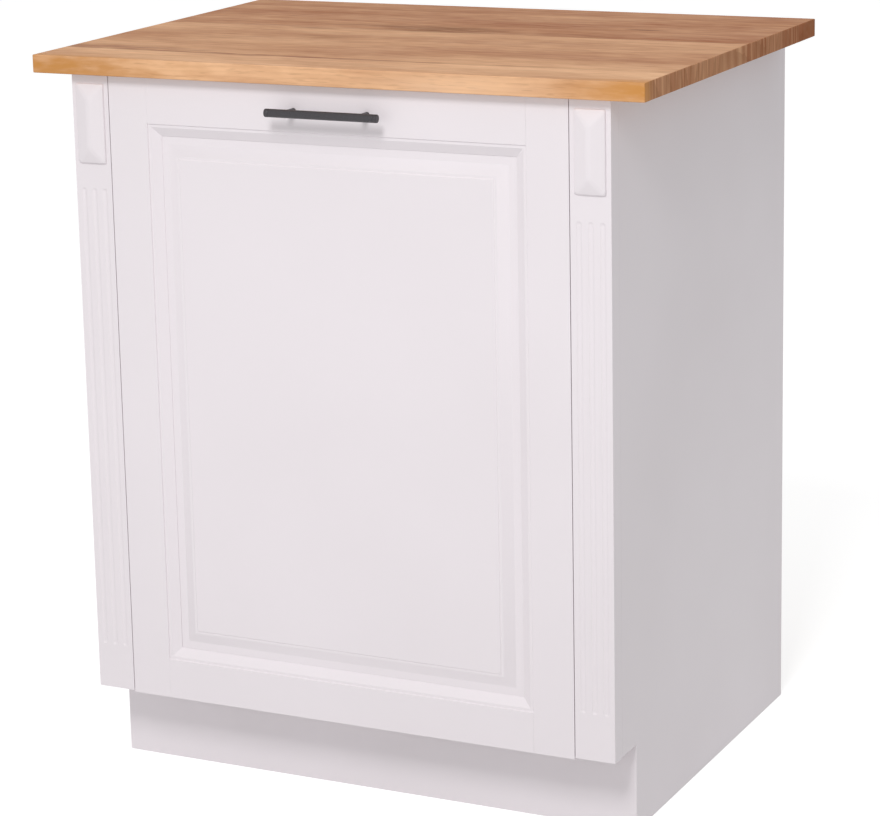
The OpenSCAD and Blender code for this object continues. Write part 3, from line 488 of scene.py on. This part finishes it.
evenFinishes = (
    # sprayed on fibreboard: a soft even sheen with a slow drift, and orange peel of 3 to 4 mm
    {
        "name": "satinLacquerOnFibreboard", "pale": "#EFE8EC", "deep": "#E5DEE1",
        "surface": {"IOR": 1.5, "Specular IOR Level": 0.42, "Coat Weight": 0.08, "Coat Roughness": 0.3},
        "patterns": ((1 / 0.45, 3), (1 / 0.0035, 1)), "range": (0.35, 0.7), "deepShare": 0.45,
        "sheenFrom": 0, "roughness": (0.36, 0.46), "relief": (0.00003, 0.6),
    },
    # printed paper under hard resin: a flat cool white with a fine pearl, 1 mm across
    {
        "name": "whiteMelamineOnChipboard", "pale": "#EDEDEB", "deep": "#E5E5E2",
        "surface": {"IOR": 1.5, "Specular IOR Level": 0.5},
        "patterns": ((5, 3), (900, 2)), "range": (0.35, 0.65),
        "roughness": (0.38, 0.52), "relief": (0.00005, 0.4),
    },
    # baked powder: a fine pebble that breaks the highlight up
    {
        "name": "mattBlackPowderCoat", "pale": "#3A363B", "deep": "#2B292D", "surface": {},
        "patterns": ((1 / 0.0011, 2),), "roughness": (0.30, 0.42), "relief": (0.00004, 0.5),
    },
    # rolled strip: faint lines along its length
    {
        "name": "zincPlatedSheetSteel", "pale": "#C9CDD1", "deep": "#A9AEB4", "surface": {"Metallic": 1.0},
        "patterns": ((1 / 0.0016, 2),), "stretch": (1, 0.02, 1),
        "roughness": (0.24, 0.4), "relief": (0.00002, 0.5),
    },
    # barrel plated: bright, a little uneven
    {
        "name": "zincPlatedScrewSteel", "pale": "#D0CFC6", "deep": "#A8A79C", "surface": {"Metallic": 1.0},
        "patterns": ((1 / 0.0008, 2),), "roughness": (0.22, 0.38), "relief": (0.00001, 0.5),
    },
    # as cast: dull and slightly grainy
    {
        "name": "dieCastZincFitting", "pale": "#B4B5B6", "deep": "#8F9092", "surface": {"Metallic": 1.0},
        "patterns": ((1 / 0.0014, 2),), "roughness": (0.4, 0.58), "relief": (0.00003, 0.5),
    },
    # cast drops: milky in the middle with a wet shine
    {
        "name": "clearPolyurethanePad", "pale": "#F2F2EE", "deep": "#DDDDD6",
        "surface": {"IOR": 1.49, "Transmission Weight": 0.55},
        "patterns": ((300, 2),), "range": (0, 1),
        "roughness": (0.12, 0.24), "span": (0, 1),
    },
)


def evenFinish(look):
    material, tree, surface = newMaterial(look["name"], look["surface"])
    place = addNode(tree, "ShaderNodeTexCoord").outputs["Object"]
    if "stretch" in look:
        place = addNode(tree, "ShaderNodeVectorMath", {
            0: place, 1: look["stretch"],
        }, operation="MULTIPLY").outputs[0]
    patterns = [
        addNode(tree, "ShaderNodeTexNoise", {"Vector": place, "Scale": scale, "Detail": detail}).outputs[0]
        for scale, detail in look["patterns"]
    ]
    low, high = look.get("range", (0.32, 0.68))
    share = addNode(tree, "ShaderNodeMapRange", {
        "Value": patterns[0], 1: low, 2: high, 4: look.get("deepShare", 1),
    })
    sheenFrom = patterns[look.get("sheenFrom", -1)]
    dressInTwoTones(tree, surface, look, share.outputs[0], sheenFrom, patterns[-1])
    return material


oak = solidWood(oakLook)
pine = solidWood(pineLook)
beech = solidWood(beechLook, fromAttribute=False)
ply = birchPlywood()
chipboard = sawnChipboard()
hardboard = bareHardboard()
lacquer, melamine, handleCoat, runnerSteel, screwSteel, castZinc, padClear = map(evenFinish, evenFinishes)
print("materials made")


# Shapes: copies of the cabinet's own solids with the soft edges that sanding and paint leave

shaping = {
    "weld": 0.000002,  # corners closer than this are one
    "flat": 0.5,  # degrees between two faces that become one
    "corner": 20,  # degrees from which an edge is a corner that can be rounded
    "facing": 0.7,  # part of a normal from which a face looks along an axis
    "near": 0.0001,  # within this, a corner lies on a plane
}


def weldedSolid(node):
    shape = bmesh.new()
    shape.from_mesh(nodes[node].data)
    bmesh.ops.remove_doubles(shape, verts=shape.verts, dist=shaping["weld"])
    return shape


def cleanSolid(node):
    shape = weldedSolid(node)
    limit = math.radians(shaping["flat"])
    bmesh.ops.dissolve_limit(shape, angle_limit=limit, verts=shape.verts, edges=shape.edges)
    return shape


def boxOf(spots):
    return [Vector([pick(s[i] for s in spots) for i in range(3)]) for pick in (min, max)]


def roundEdges(shape, radius, steps, chosen):
    corner = math.radians(shaping["corner"])
    edges = [e for e in shape.edges if e.is_manifold and e.calc_face_angle() > corner and chosen(e)]
    if edges:
        bmesh.ops.bevel(shape, geom=edges, offset=radius, segments=steps, profile=0.5, affect="EDGES",
                        clamp_overlap=True)


def addPiece(node, ending, shape, finishes, crisp=50):
    # corners steeper than crisp, in degrees, stay sharp to the light
    name = node.replace("_", ".") + ending
    mesh = bpy.data.meshes.new(name)
    shape.normal_update()
    for face in shape.faces:
        face.smooth = True
    for edge in shape.edges:
        edge.smooth = not edge.is_manifold or edge.calc_face_angle() < math.radians(crisp)
    shape.to_mesh(mesh)
    shape.free()
    for finish in finishes:
        mesh.materials.append(finish)
    piece = bpy.data.objects.new(name, mesh)
    bpy.context.scene.collection.objects.link(piece)
    even = piece.modifiers.new("evenShading", "WEIGHTED_NORMAL")
    even.keep_sharp = True
    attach(piece, bodyOf[node])
    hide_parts(node)
    return piece


def easedPiece(node, ending, finishes, easing, crisp=50):
    # easing is the radius, the steps and the length from which an edge is rounded
    shape = cleanSolid(node)
    radius, steps, longFrom = easing
    roundEdges(shape, radius, steps, lambda e: e.calc_length() > longFrom)
    return addPiece(node, ending, shape, finishes, crisp)


def markGrain(mesh, order, stave=0.0, tone=0.5):
    # order gives the axes along the grain, across it and through the board; cutEnd marks the sawn ends and
    # cutAny all sides but the two faces
    along, across, through = ["XYZ".index(a) for a in order]
    spots = [v.co for v in mesh.vertices]
    low, high = boxOf(spots)
    middle = (low[across] + high[across]) / 2
    board = mesh.attributes.new("board", "FLOAT_VECTOR", "POINT")
    for spot, value in zip(spots, board.data):
        value.vector = (spot[along], spot[across] - middle, spot[through] - low[through])
    faces = mesh.polygons
    for name, domain, numbers in (
        ("stave", "POINT", [stave] * len(spots)), ("tone", "FACE", [tone] * len(faces)),
        ("cutEnd", "FACE", [float(abs(f.normal[along]) > shaping["facing"]) for f in faces]),
        ("cutAny", "FACE", [float(abs(f.normal[through]) <= shaping["facing"]) for f in faces]),
    ):
        mesh.attributes.new(name, "FLOAT", domain).data.foreach_set("value", numbers)


# Worktop: staves glued side by side, planed flush, with eased outer edges

worktopStaves = {
    "widths": (74, 67, 95, 88, 67, 58, 65, 60),  # from the front to the back, shared out over the depth
    "tones": (0.28, 0.41, 0.50, 0.43, 0.65, 0.67, 0.63, 0.72),  # 0 is pale and 1 is deep; they deepen towards the back, partly each stave's own tone and partly painted shade on the top
    "endTones": (0.58, 0.71, 0.62, 0.55, 0.79, 0.70, 0.86, 0.90),
    # painted light: the front face of the top is paler than the top of its stave
    "frontTone": 0.14,
    "seed": 11,
    "easing": (0.0012, 3),  # radius and steps
}


def socketTree(name, sockets):
    tree = bpy.data.node_groups.new(name, "GeometryNodeTree")
    tree.interface.new_socket(name="Geometry", in_out="OUTPUT", socket_type="NodeSocketGeometry")
    tree.interface.new_socket(name="Points", in_out="INPUT", socket_type="NodeSocketGeometry")
    for socketName, kind in sockets:
        tree.interface.new_socket(name=socketName, in_out="INPUT", socket_type=kind)
    return tree, addNode(tree, "NodeGroupInput").outputs


def placeOnPoints(tree, given, model):
    # copies on every point, made real and given their finish
    copies = addNode(tree, "GeometryNodeInstanceOnPoints", {"Points": given["Points"], **model})
    real = addNode(tree, "GeometryNodeRealizeInstances", {"Geometry": copies.outputs[0]})
    finished = addNode(tree, "GeometryNodeSetMaterial", {
        "Geometry": real.outputs[0], "Material": given["Finish"],
    })
    addNode(tree, "NodeGroupOutput", {0: finished.outputs[0]})


def pointsMesh(name, spots, valueName, kind, numbers):
    mesh = bpy.data.meshes.new(name)
    mesh.from_pydata(spots, [], [])
    layer = mesh.attributes.new(valueName, kind, "POINT")
    layer.data.foreach_set("vector" if kind == "FLOAT_VECTOR" else "value", numbers)
    return mesh


def runTree(tree, points, name, values):
    holder = bpy.data.objects.new(name, points)
    bpy.context.scene.collection.objects.link(holder)
    modifier = holder.modifiers.new("build", "NODES")
    modifier.node_group = tree
    for socketName, value in values.items():
        modifier[tree.interface.items_tree[socketName].identifier] = value
    bpy.context.view_layer.update()
    ready = holder.evaluated_get(bpy.context.evaluated_depsgraph_get())
    made = bpy.data.meshes.new_from_object(ready)
    holder.modifiers.remove(modifier)
    bpy.data.objects.remove(holder)
    shape = bmesh.new()
    shape.from_mesh(made)
    return shape


def staveTree():
    tree, given = socketTree("gluedStaves", [
        ("Length", "NodeSocketFloat"), ("Thickness", "NodeSocketFloat"), ("Finish", "NodeSocketMaterial"),
    ])
    width = addNode(tree, "GeometryNodeInputNamedAttribute", {"Name": "staveWidth"}, data_type="FLOAT")
    size = addNode(tree, "ShaderNodeCombineXYZ", {
        "X": given["Length"], "Y": width.outputs[0], "Z": given["Thickness"],
    })
    bar = addNode(tree, "GeometryNodeMeshCube")
    placeOnPoints(tree, given, {"Instance": bar.outputs["Mesh"], "Scale": size.outputs[0]})
    return tree


def makeWorktop():
    low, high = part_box("worktop")
    share = (high.y - low.y) / sum(worktopStaves["widths"])
    widths = [w * share for w in worktopStaves["widths"]]
    starts = [low.y + sum(widths[:i]) for i in range(len(widths))]
    spots = [((low.x + high.x) / 2, s + w / 2, (low.z + high.z) / 2) for s, w in zip(starts, widths)]
    points = pointsMesh("staveSpots", spots, "staveWidth", "FLOAT", widths)
    shape = runTree(staveTree(), points, "gluedStaves", {
        "Length": high.x - low.x, "Thickness": high.z - low.z, "Finish": oak,
    })

    def onRim(edge):
        # two outer faces of the whole top meet there
        planes = 0
        for axis in range(3):
            for limit in (low[axis], high[axis]):
                planes += all(abs(v.co[axis] - limit) < shaping["near"] for v in edge.verts)
        return planes > 1

    roundEdges(shape, *worktopStaves["easing"], onRim)
    mesh = addPiece("worktop", "Staves", shape, [oak]).data
    markGrain(mesh, "XYZ")
    dice = random.Random(worktopStaves["seed"])
    seeds = [dice.random() for _ in widths]
    board, stave, tone = [mesh.attributes[n].data for n in ("board", "stave", "tone")]
    for face in mesh.polygons:
        index = max(i for i, s in enumerate(starts) if face.center.y > s - shaping["near"])
        for corner in face.vertices:
            spot = mesh.vertices[corner].co
            board[corner].vector = (spot.x, spot.y - starts[index] - widths[index] / 2, spot.z - low.z)
            stave[corner].value = seeds[index]
        # partly painted shade: the tones darken the top towards the back
        tone[face.index].value = worktopStaves["tones"][index]
        if abs(face.normal.x) > shaping["facing"]:
            tone[face.index].value = worktopStaves["endTones"][index]
        elif face.normal.y < -shaping["facing"]:
            # painted light: the front face takes the paler front tone
            tone[face.index].value = worktopStaves["frontTone"]


makeWorktop()
print("worktop made")


# Painted cabinet parts: edges sanded round before the lacquer

paintedParts = {
    "radii": {
        "side_left": 0.0012, "side_right": 0.0012, "plinth_board": 0.0003,
        "pilaster_block_left": 0.0012, "pilaster_block_right": 0.0012,
        "pilaster_left": 0.0020, "pilaster_right": 0.0020,
    },
    "steps": 3,
    "blockSteps": 2,
    "blockRidge": (0.0042, 4),  # the ridges of the raised blocks are sanded softer than their rims
    "ridgeAngle": 45,
    "longFrom": 0.012,  # shorter edges stay as they are
    "inset": 0.001,  # how far from the toe space or the foot of a block an edge counts as away from it
}
longFrom, inset = paintedParts["longFrom"], paintedParts["inset"]
plinthLow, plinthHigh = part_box("plinth_board")


def filledToe(edge):
    # the plinth meets the sides flush there, so those corners stay square under the paint
    return all(abs(v.co.y - plinthLow.y) < inset and abs(v.co.x) < plinthHigh.x + inset for v in edge.verts)


for node, radius in paintedParts["radii"].items():
    shape = cleanSolid(node)
    if "block" in node:
        foot = boxOf([v.co for v in shape.verts])[1].y
        ridge = math.radians(paintedParts["ridgeAngle"])
        roundEdges(shape, *paintedParts["blockRidge"], lambda e: e.calc_face_angle() < ridge)
        steps = paintedParts["blockSteps"]
        roundEdges(shape, radius, steps, lambda e: all(v.co.y < foot - inset for v in e.verts))
    else:
        steps = paintedParts["steps"]
        roundEdges(shape, radius, steps, lambda e: e.calc_length() > longFrom and not filledToe(e))
    addPiece(node, ".painted", shape, [lacquer])
print("painted carcass made")


# Front: two stiles, two rails and a raised panel; the outer rim is well rounded, the seams stay tight

frontParts = {
    "rim": (0.0024, 4), "moulding": (0.0007, 3), "seam": (0.00025, 2),  # radii and steps
    "mouldingWidth": 0.015, "mouldingDepth": 0.0083,
    "straight": 0.99,  # part of an edge's way that is along the frame
    "rimFrom": 0.018, "mouldingFrom": 0.3,  # lengths from which those edges are rounded
    "panelEasing": (0.00045, 3, 0.2),
    "panelCrisp": 33,
}
frontLow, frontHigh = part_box("front_stile_left")[0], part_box("front_stile_right")[1]
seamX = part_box("front_stile_right")[0].x + frontParts["mouldingWidth"]


def onRim(edge):
    spots = [v.co for v in edge.verts]
    outer = any(
        all(min(abs(s[i] - frontLow[i]), abs(s[i] - frontHigh[i])) < shaping["near"] for s in spots)
        for i in (0, 2)
    )
    return outer and edge.calc_length() > frontParts["rimFrom"]


for node in ("front_stile_left", "front_stile_right", "front_rail_top", "front_rail_bottom"):
    shape = cleanSolid(node)
    face = boxOf([v.co for v in shape.verts])[0].y

    def atSeam(edge):
        return all(max(abs(abs(v.co.x) - seamX), abs(v.co.y - face)) < shaping["near"] for v in edge.verts)

    def onMoulding(edge):
        way = (edge.verts[0].co - edge.verts[1].co).normalized()
        straight = abs(way.z if "stile" in node else way.x) > frontParts["straight"]
        inFront = all(v.co.y < face + frontParts["mouldingDepth"] for v in edge.verts)
        return straight and inFront and edge.calc_length() > frontParts["mouldingFrom"] and not onRim(edge)

    for part, chosen in (("seam", atSeam), ("moulding", onMoulding), ("rim", onRim)):
        roundEdges(shape, *frontParts[part], chosen)
    addPiece(node, ".painted", shape, [lacquer])
easedPiece("front_panel", ".painted", [lacquer], frontParts["panelEasing"],
           frontParts["panelCrisp"])
print("front made")


# White boards behind the front: melamine faces, sawn chipboard where nothing covers the edge

whiteBoards = {
    "faces": {"bottom_board": "Z", "stretcher_front": "Z", "stretcher_back": "Z", "wall_rail": "Y"},
    "banded": ("bottom_board", "stretcher_front"),  # these have an edge band at the front
    "easing": (0.0003, 2, 0.05),
    "sheetEasing": (0.0002, 1, 0.05),
}

for node, faces in whiteBoards["faces"].items():
    piece = easedPiece(node, ".board", [melamine, chipboard], whiteBoards["easing"])
    for face in piece.data.polygons:
        flat = abs(face.normal["XYZ".index(faces)]) > shaping["facing"]
        banded = node in whiteBoards["banded"] and face.normal.y < -shaping["facing"]
        face.material_index = 0 if flat or banded else 1

piece = easedPiece("back_panel", ".sheet", [melamine, hardboard], whiteBoards["sheetEasing"])
for face in piece.data.polygons:
    face.material_index = 0 if face.normal.y < -shaping["facing"] else 1
print("white boards made")


# Pine blocks, cleats and battens

pineParts = {
    "orders": {
        "plinth_blocks": "ZXY", "cleat_left": "ZYX", "cleat_right": "ZYX",
        "batten_lower_left": "YZX", "batten_lower_right": "YZX",
        "batten_upper_left": "YZX", "batten_upper_right": "YZX",
    },
    "easing": (0.0008, 2, 0.02),
    "staveStep": 0.137,  # what sets the grain of one part off from the next
    "tone": 0.3,
    "toneStep": 0.07,
}

for count, (node, order) in enumerate(pineParts["orders"].items()):
    piece = easedPiece(node, ".pine", [pine], pineParts["easing"])
    markGrain(piece.data, order, stave=pineParts["staveStep"] * (count + 1),
              tone=pineParts["tone"] + pineParts["toneStep"] * (count % 4))
print("pine parts made")


# Plywood boxes of the pull-out

boxParts = {
    "orders": {"side_left": "YZX", "side_right": "YZX", "front": "XZY", "back": "XZY", "bottom": "XYZ"},
    "easing": (0.0009, 3, 0.05),
    "bottomEasing": (0.0003, 3, 0.05),
    "staveStep": 0.111,
    "levelStep": 0.057,
}

for level, drawer in enumerate(("lower_box_", "upper_box_")):
    for count, (part, order) in enumerate(boxParts["orders"].items()):
        easing = boxParts["bottomEasing" if part == "bottom" else "easing"]
        piece = easedPiece(drawer + part, ".ply", [ply], easing)
        stave = boxParts["staveStep"] * (count + 1) + boxParts["levelStep"] * level
        markGrain(piece.data, order, stave=stave)
print("boxes made")


# Runners: pressed from strip, so their long corners are rolled round

runnerParts = {
    "nodes": [n for n in nodes if n.startswith("runner_") and not n.endswith("_screws")],
    "easing": (0.00035, 2, 0.2),
}

for node in runnerParts["nodes"]:
    easedPiece(node, ".steel", [runnerSteel], runnerParts["easing"])
print("runners made")


# Turned parts, drawn as distance along the axis and radius

def sweepRings(profile, steps, start=0.0):
    # a radius of 0 gives a point in place of a ring
    shape = bmesh.new()
    rings = []
    for along, radius in profile:
        angles = [start + 2 * math.pi * i / steps for i in range(steps if radius else 1)]
        rings.append([shape.verts.new((radius * math.cos(a), radius * math.sin(a), along)) for a in angles])
    for near, far in zip(rings, rings[1:]):
        for i in range(steps):
            j = (i + 1) % steps
            corners = near[i % len(near)], near[j % len(near)], far[j % len(far)], far[i % len(far)]
            shape.faces.new(tuple(dict.fromkeys(corners)))
    return shape, rings


# Handle: a round bar with capped ends, standing on two posts

handleBar = {"edge": 0.0008, "ringIn": 0.0048, "ringWide": 0.0014, "ringDeep": 0.0007, "steps": 48}


def makeBar():
    low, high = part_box("handle_bar")
    length = high.x - low.x
    radius = min(high.y - low.y, high.z - low.z) / 2
    edge, ringIn, ringWide, ringDeep, steps = handleBar.values()
    half = [
        (0, 0), (0, radius - edge), (edge * 0.3, radius - edge * 0.35), (edge, radius),
        (ringIn, radius), (ringIn + ringWide / 2, radius - ringDeep), (ringIn + ringWide, radius),
    ]
    shape = sweepRings(half + [(length - a, r) for a, r in reversed(half)], steps)[0]
    for vert in shape.verts:
        x, y, z = vert.co
        vert.co = (low.x + z, (low.y + high.y) / 2 + x, (low.z + high.z) / 2 + y)
    bmesh.ops.recalc_face_normals(shape, faces=shape.faces)
    addPiece("handle_bar", ".coated", shape, [handleCoat])


makeBar()
addPiece("handle_posts", ".coated", cleanSolid("handle_posts"), [handleCoat])
print("handle made")


# Screws: one model of each kind, set on every place that the cabinet has for it

screwKinds = {
    "worktop_screws": "countersunk", "batten_screws": "countersunk", "pilaster_screws": "countersunk",
    "box_screws": "countersunk", "runner_rail_screws": "pan", "runner_slide_screws": "pan",
    "handle_screws": "machine",
}
screwSizes = {
    "countersunk": {"head": 0.004, "headHeight": 0.002, "shank": 0.002, "root": 0.0014, "pitch": 0.0026},
    "pan": {"head": 0.0035, "headHeight": 0.0018, "shank": 0.00175, "root": 0.0012, "pitch": 0.0020},
    "machine": {"head": 0.004, "headHeight": 0.0024, "shank": 0.002, "root": 0.0017, "pitch": 0.0014},
}
screwForm = {
    "domed": ((0, 0.72), (0.35, 0.93), (0.7, 1), (1, 1)),  # heights and radii of a domed head
    "rim": 0.0002,  # thickness of a countersunk head at its edge
    "neck": 0.0015,  # plain length below the head, and that of the point
    "waist": 0.9,  # radius of the neck, in shank radii
    "turn": (0.35, 0.7),  # where the root and the crest lie in each turn of the thread
    "mouth": (0.52, 0.13),  # reach and half width of the cross at the face, in head radii
    "floor": (0.3, 0.1),  # the same at its blunt bottom
    "sunk": 0.75,  # depth of the cross, in head heights
    "steps": 24,
}


def solidsIn(node):
    shape = weldedSolid(node)
    seen = set()
    for start in shape.verts:
        waiting = [start]
        spots = []
        while waiting:
            vert = waiting.pop()
            if vert not in seen:
                seen.add(vert)
                spots.append(vert.co.copy())
                waiting += [edge.other_vert(vert) for edge in vert.link_edges]
        if spots:
            yield spots
    shape.free()


def screwPlaces(node):
    # place of the head, way of the shank and length, for each solid
    places = []
    for spots in solidsIn(node):
        low, high = boxOf(spots)
        size = high - low
        axis = max(range(3), key=lambda i: size[i])
        centre = (low + high) / 2

        def reach(end):
            # radius of the tenth of the solid next to an end
            near = [s for s in spots if abs(s[axis] - end) < size[axis] * 0.1]
            return max(math.hypot(*[s[i] - centre[i] for i in range(3) if i != axis]) for s in near)

        headLow = reach(low[axis]) > reach(high[axis])
        way = Vector((0, 0, 0))
        way[axis] = 1 if headLow else -1
        centre[axis] = low[axis] if headLow else high[axis]
        places.append((centre, way, size[axis]))
    return places


def crossRing(shape, head, form, depth):
    reach, arm = [head * share for share in form]
    quarter = [(reach, -arm), (reach, arm), (arm, arm)]
    corners = []
    for _ in range(4):
        corners += quarter
        quarter = [(-y, x) for x, y in quarter]
    return [shape.verts.new((x, y, depth)) for x, y in corners]


def screwShape(kind, length):
    head, top, shank, root, pitch = screwSizes[kind].values()
    if kind == "countersunk":
        profile = [(0, head), (screwForm["rim"], head), (top, shank)]
    else:
        profile = [(top * up, head * wide) for up, wide in screwForm["domed"]] + [(top, shank)]
    neck = screwForm["neck"]
    along = top + neck
    profile.append((along, shank * screwForm["waist"]))
    while along + pitch < length - 2 * neck:
        profile += [(along + pitch * share, r) for share, r in zip(screwForm["turn"], (root, shank))]
        along += pitch
    profile += [(length - neck, root), (length, 0)]
    steps = screwForm["steps"]
    shape, rings = sweepRings(profile, steps, -2 * math.pi / steps)
    mouth = crossRing(shape, head, screwForm["mouth"], 0)
    floor = crossRing(shape, head, screwForm["floor"], top * screwForm["sunk"])
    for i in range(len(mouth)):
        j = (i + 1) % len(mouth)
        outer = [rings[0][2 * i], rings[0][2 * i + 1], rings[0][(2 * i + 2) % steps]]
        shape.faces.new(outer + [mouth[j], mouth[i]])
        shape.faces.new((mouth[i], mouth[j], floor[j], floor[i]))
    shape.faces.new(floor)
    return shape


def plantingTree():
    tree, given = socketTree("plantedFixings", [
        ("Fixing", "NodeSocketObject"), ("Turn seed", "NodeSocketInt"), ("Finish", "NodeSocketMaterial"),
    ])
    way = addNode(tree, "GeometryNodeInputNamedAttribute", {"Name": "way"}, data_type="FLOAT_VECTOR")
    pointed = addNode(tree, "FunctionNodeAlignRotationToVector", {"Vector": way.outputs[0]}, axis="Z")
    turn = addNode(tree, "FunctionNodeRandomValue", {"Seed": given["Turn seed"]}, data_type="FLOAT")
    angle = addNode(tree, "ShaderNodeMath", {0: turn.outputs[1], 1: 2 * math.pi}, operation="MULTIPLY")
    spin = addNode(tree, "FunctionNodeAxisAngleToRotation", {"Axis": (0, 0, 1), "Angle": angle.outputs[0]})
    turned = addNode(tree, "FunctionNodeRotateRotation", {
        "Rotation": pointed.outputs[0], "Rotate By": spin.outputs[0],
    }, rotation_space="LOCAL")
    model = addNode(tree, "GeometryNodeObjectInfo", {"Object": given["Fixing"]})
    placeOnPoints(tree, given, {"Instance": model.outputs["Geometry"], "Rotation": turned.outputs[0]})
    return tree


planting = plantingTree()


def plant(node, ending, shape, places, seed, finish):
    # one turned model on each place, at a turn of its own
    bmesh.ops.recalc_face_normals(shape, faces=shape.faces)
    name = node.replace("_", ".") + ending
    model = bpy.data.meshes.new(name + "Model")
    shape.to_mesh(model)
    shape.free()
    holder = bpy.data.objects.new(name + "Model", model)
    bpy.context.scene.collection.objects.link(holder)
    ways = [part for place in places for part in place[1]]
    points = pointsMesh(name + "Spots", [tuple(place[0]) for place in places], "way", "FLOAT_VECTOR", ways)
    planted = runTree(planting, points, name, {"Fixing": holder, "Turn seed": seed, "Finish": finish})
    bpy.data.objects.remove(holder)
    addPiece(node, ending, planted, [finish])


for seed, (node, kind) in enumerate(screwKinds.items()):
    byLength = {}
    for place in screwPlaces(node):
        byLength.setdefault(round(place[2], 5), []).append(place)
    for count, (length, group) in enumerate(byLength.items()):
        plant(node, "." + str(count), screwShape(kind, length), group, seed, screwSteel)
print("screws set")


# Soft pads behind the front: cast drops with a domed face

pads = {
    "radius": 0.0045,
    "domeAngles": (20, 40, 60, 80),
    "flatShare": 0.45,  # radius of the dome's flat top, in pad radii
    "steps": 28,
    "seed": 3,
}


def makePads():
    low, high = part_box("bumper_pads")
    deep = high.y - low.y
    profile = [(0, 0), (0, pads["radius"])]
    for angle in [math.radians(a) for a in pads["domeAngles"]]:
        share = pads["flatShare"] + (1 - pads["flatShare"]) * math.cos(angle)
        profile.append((deep * math.sin(angle), pads["radius"] * share))
    shape = sweepRings(profile + [(deep, 0)], pads["steps"])[0]
    places = []
    for spots in solidsIn("bumper_pads"):
        middle = sum(spots, Vector()) / len(spots)
        places.append((Vector((middle.x, high.y, middle.z)), Vector((0, -1, 0))))
    plant("bumper_pads", ".clear", shape, places, pads["seed"], padClear)


makePads()
print("pads set")


# Cam fittings and dowels stay as they are, with their own finishes

for node, finish in {"cam_bolts": screwSteel, "cam_locks": castZinc, "dowels": beech}.items():
    mesh = nodes[node].data
    mesh.materials.clear()
    mesh.materials.append(finish)
print("fittings finished")
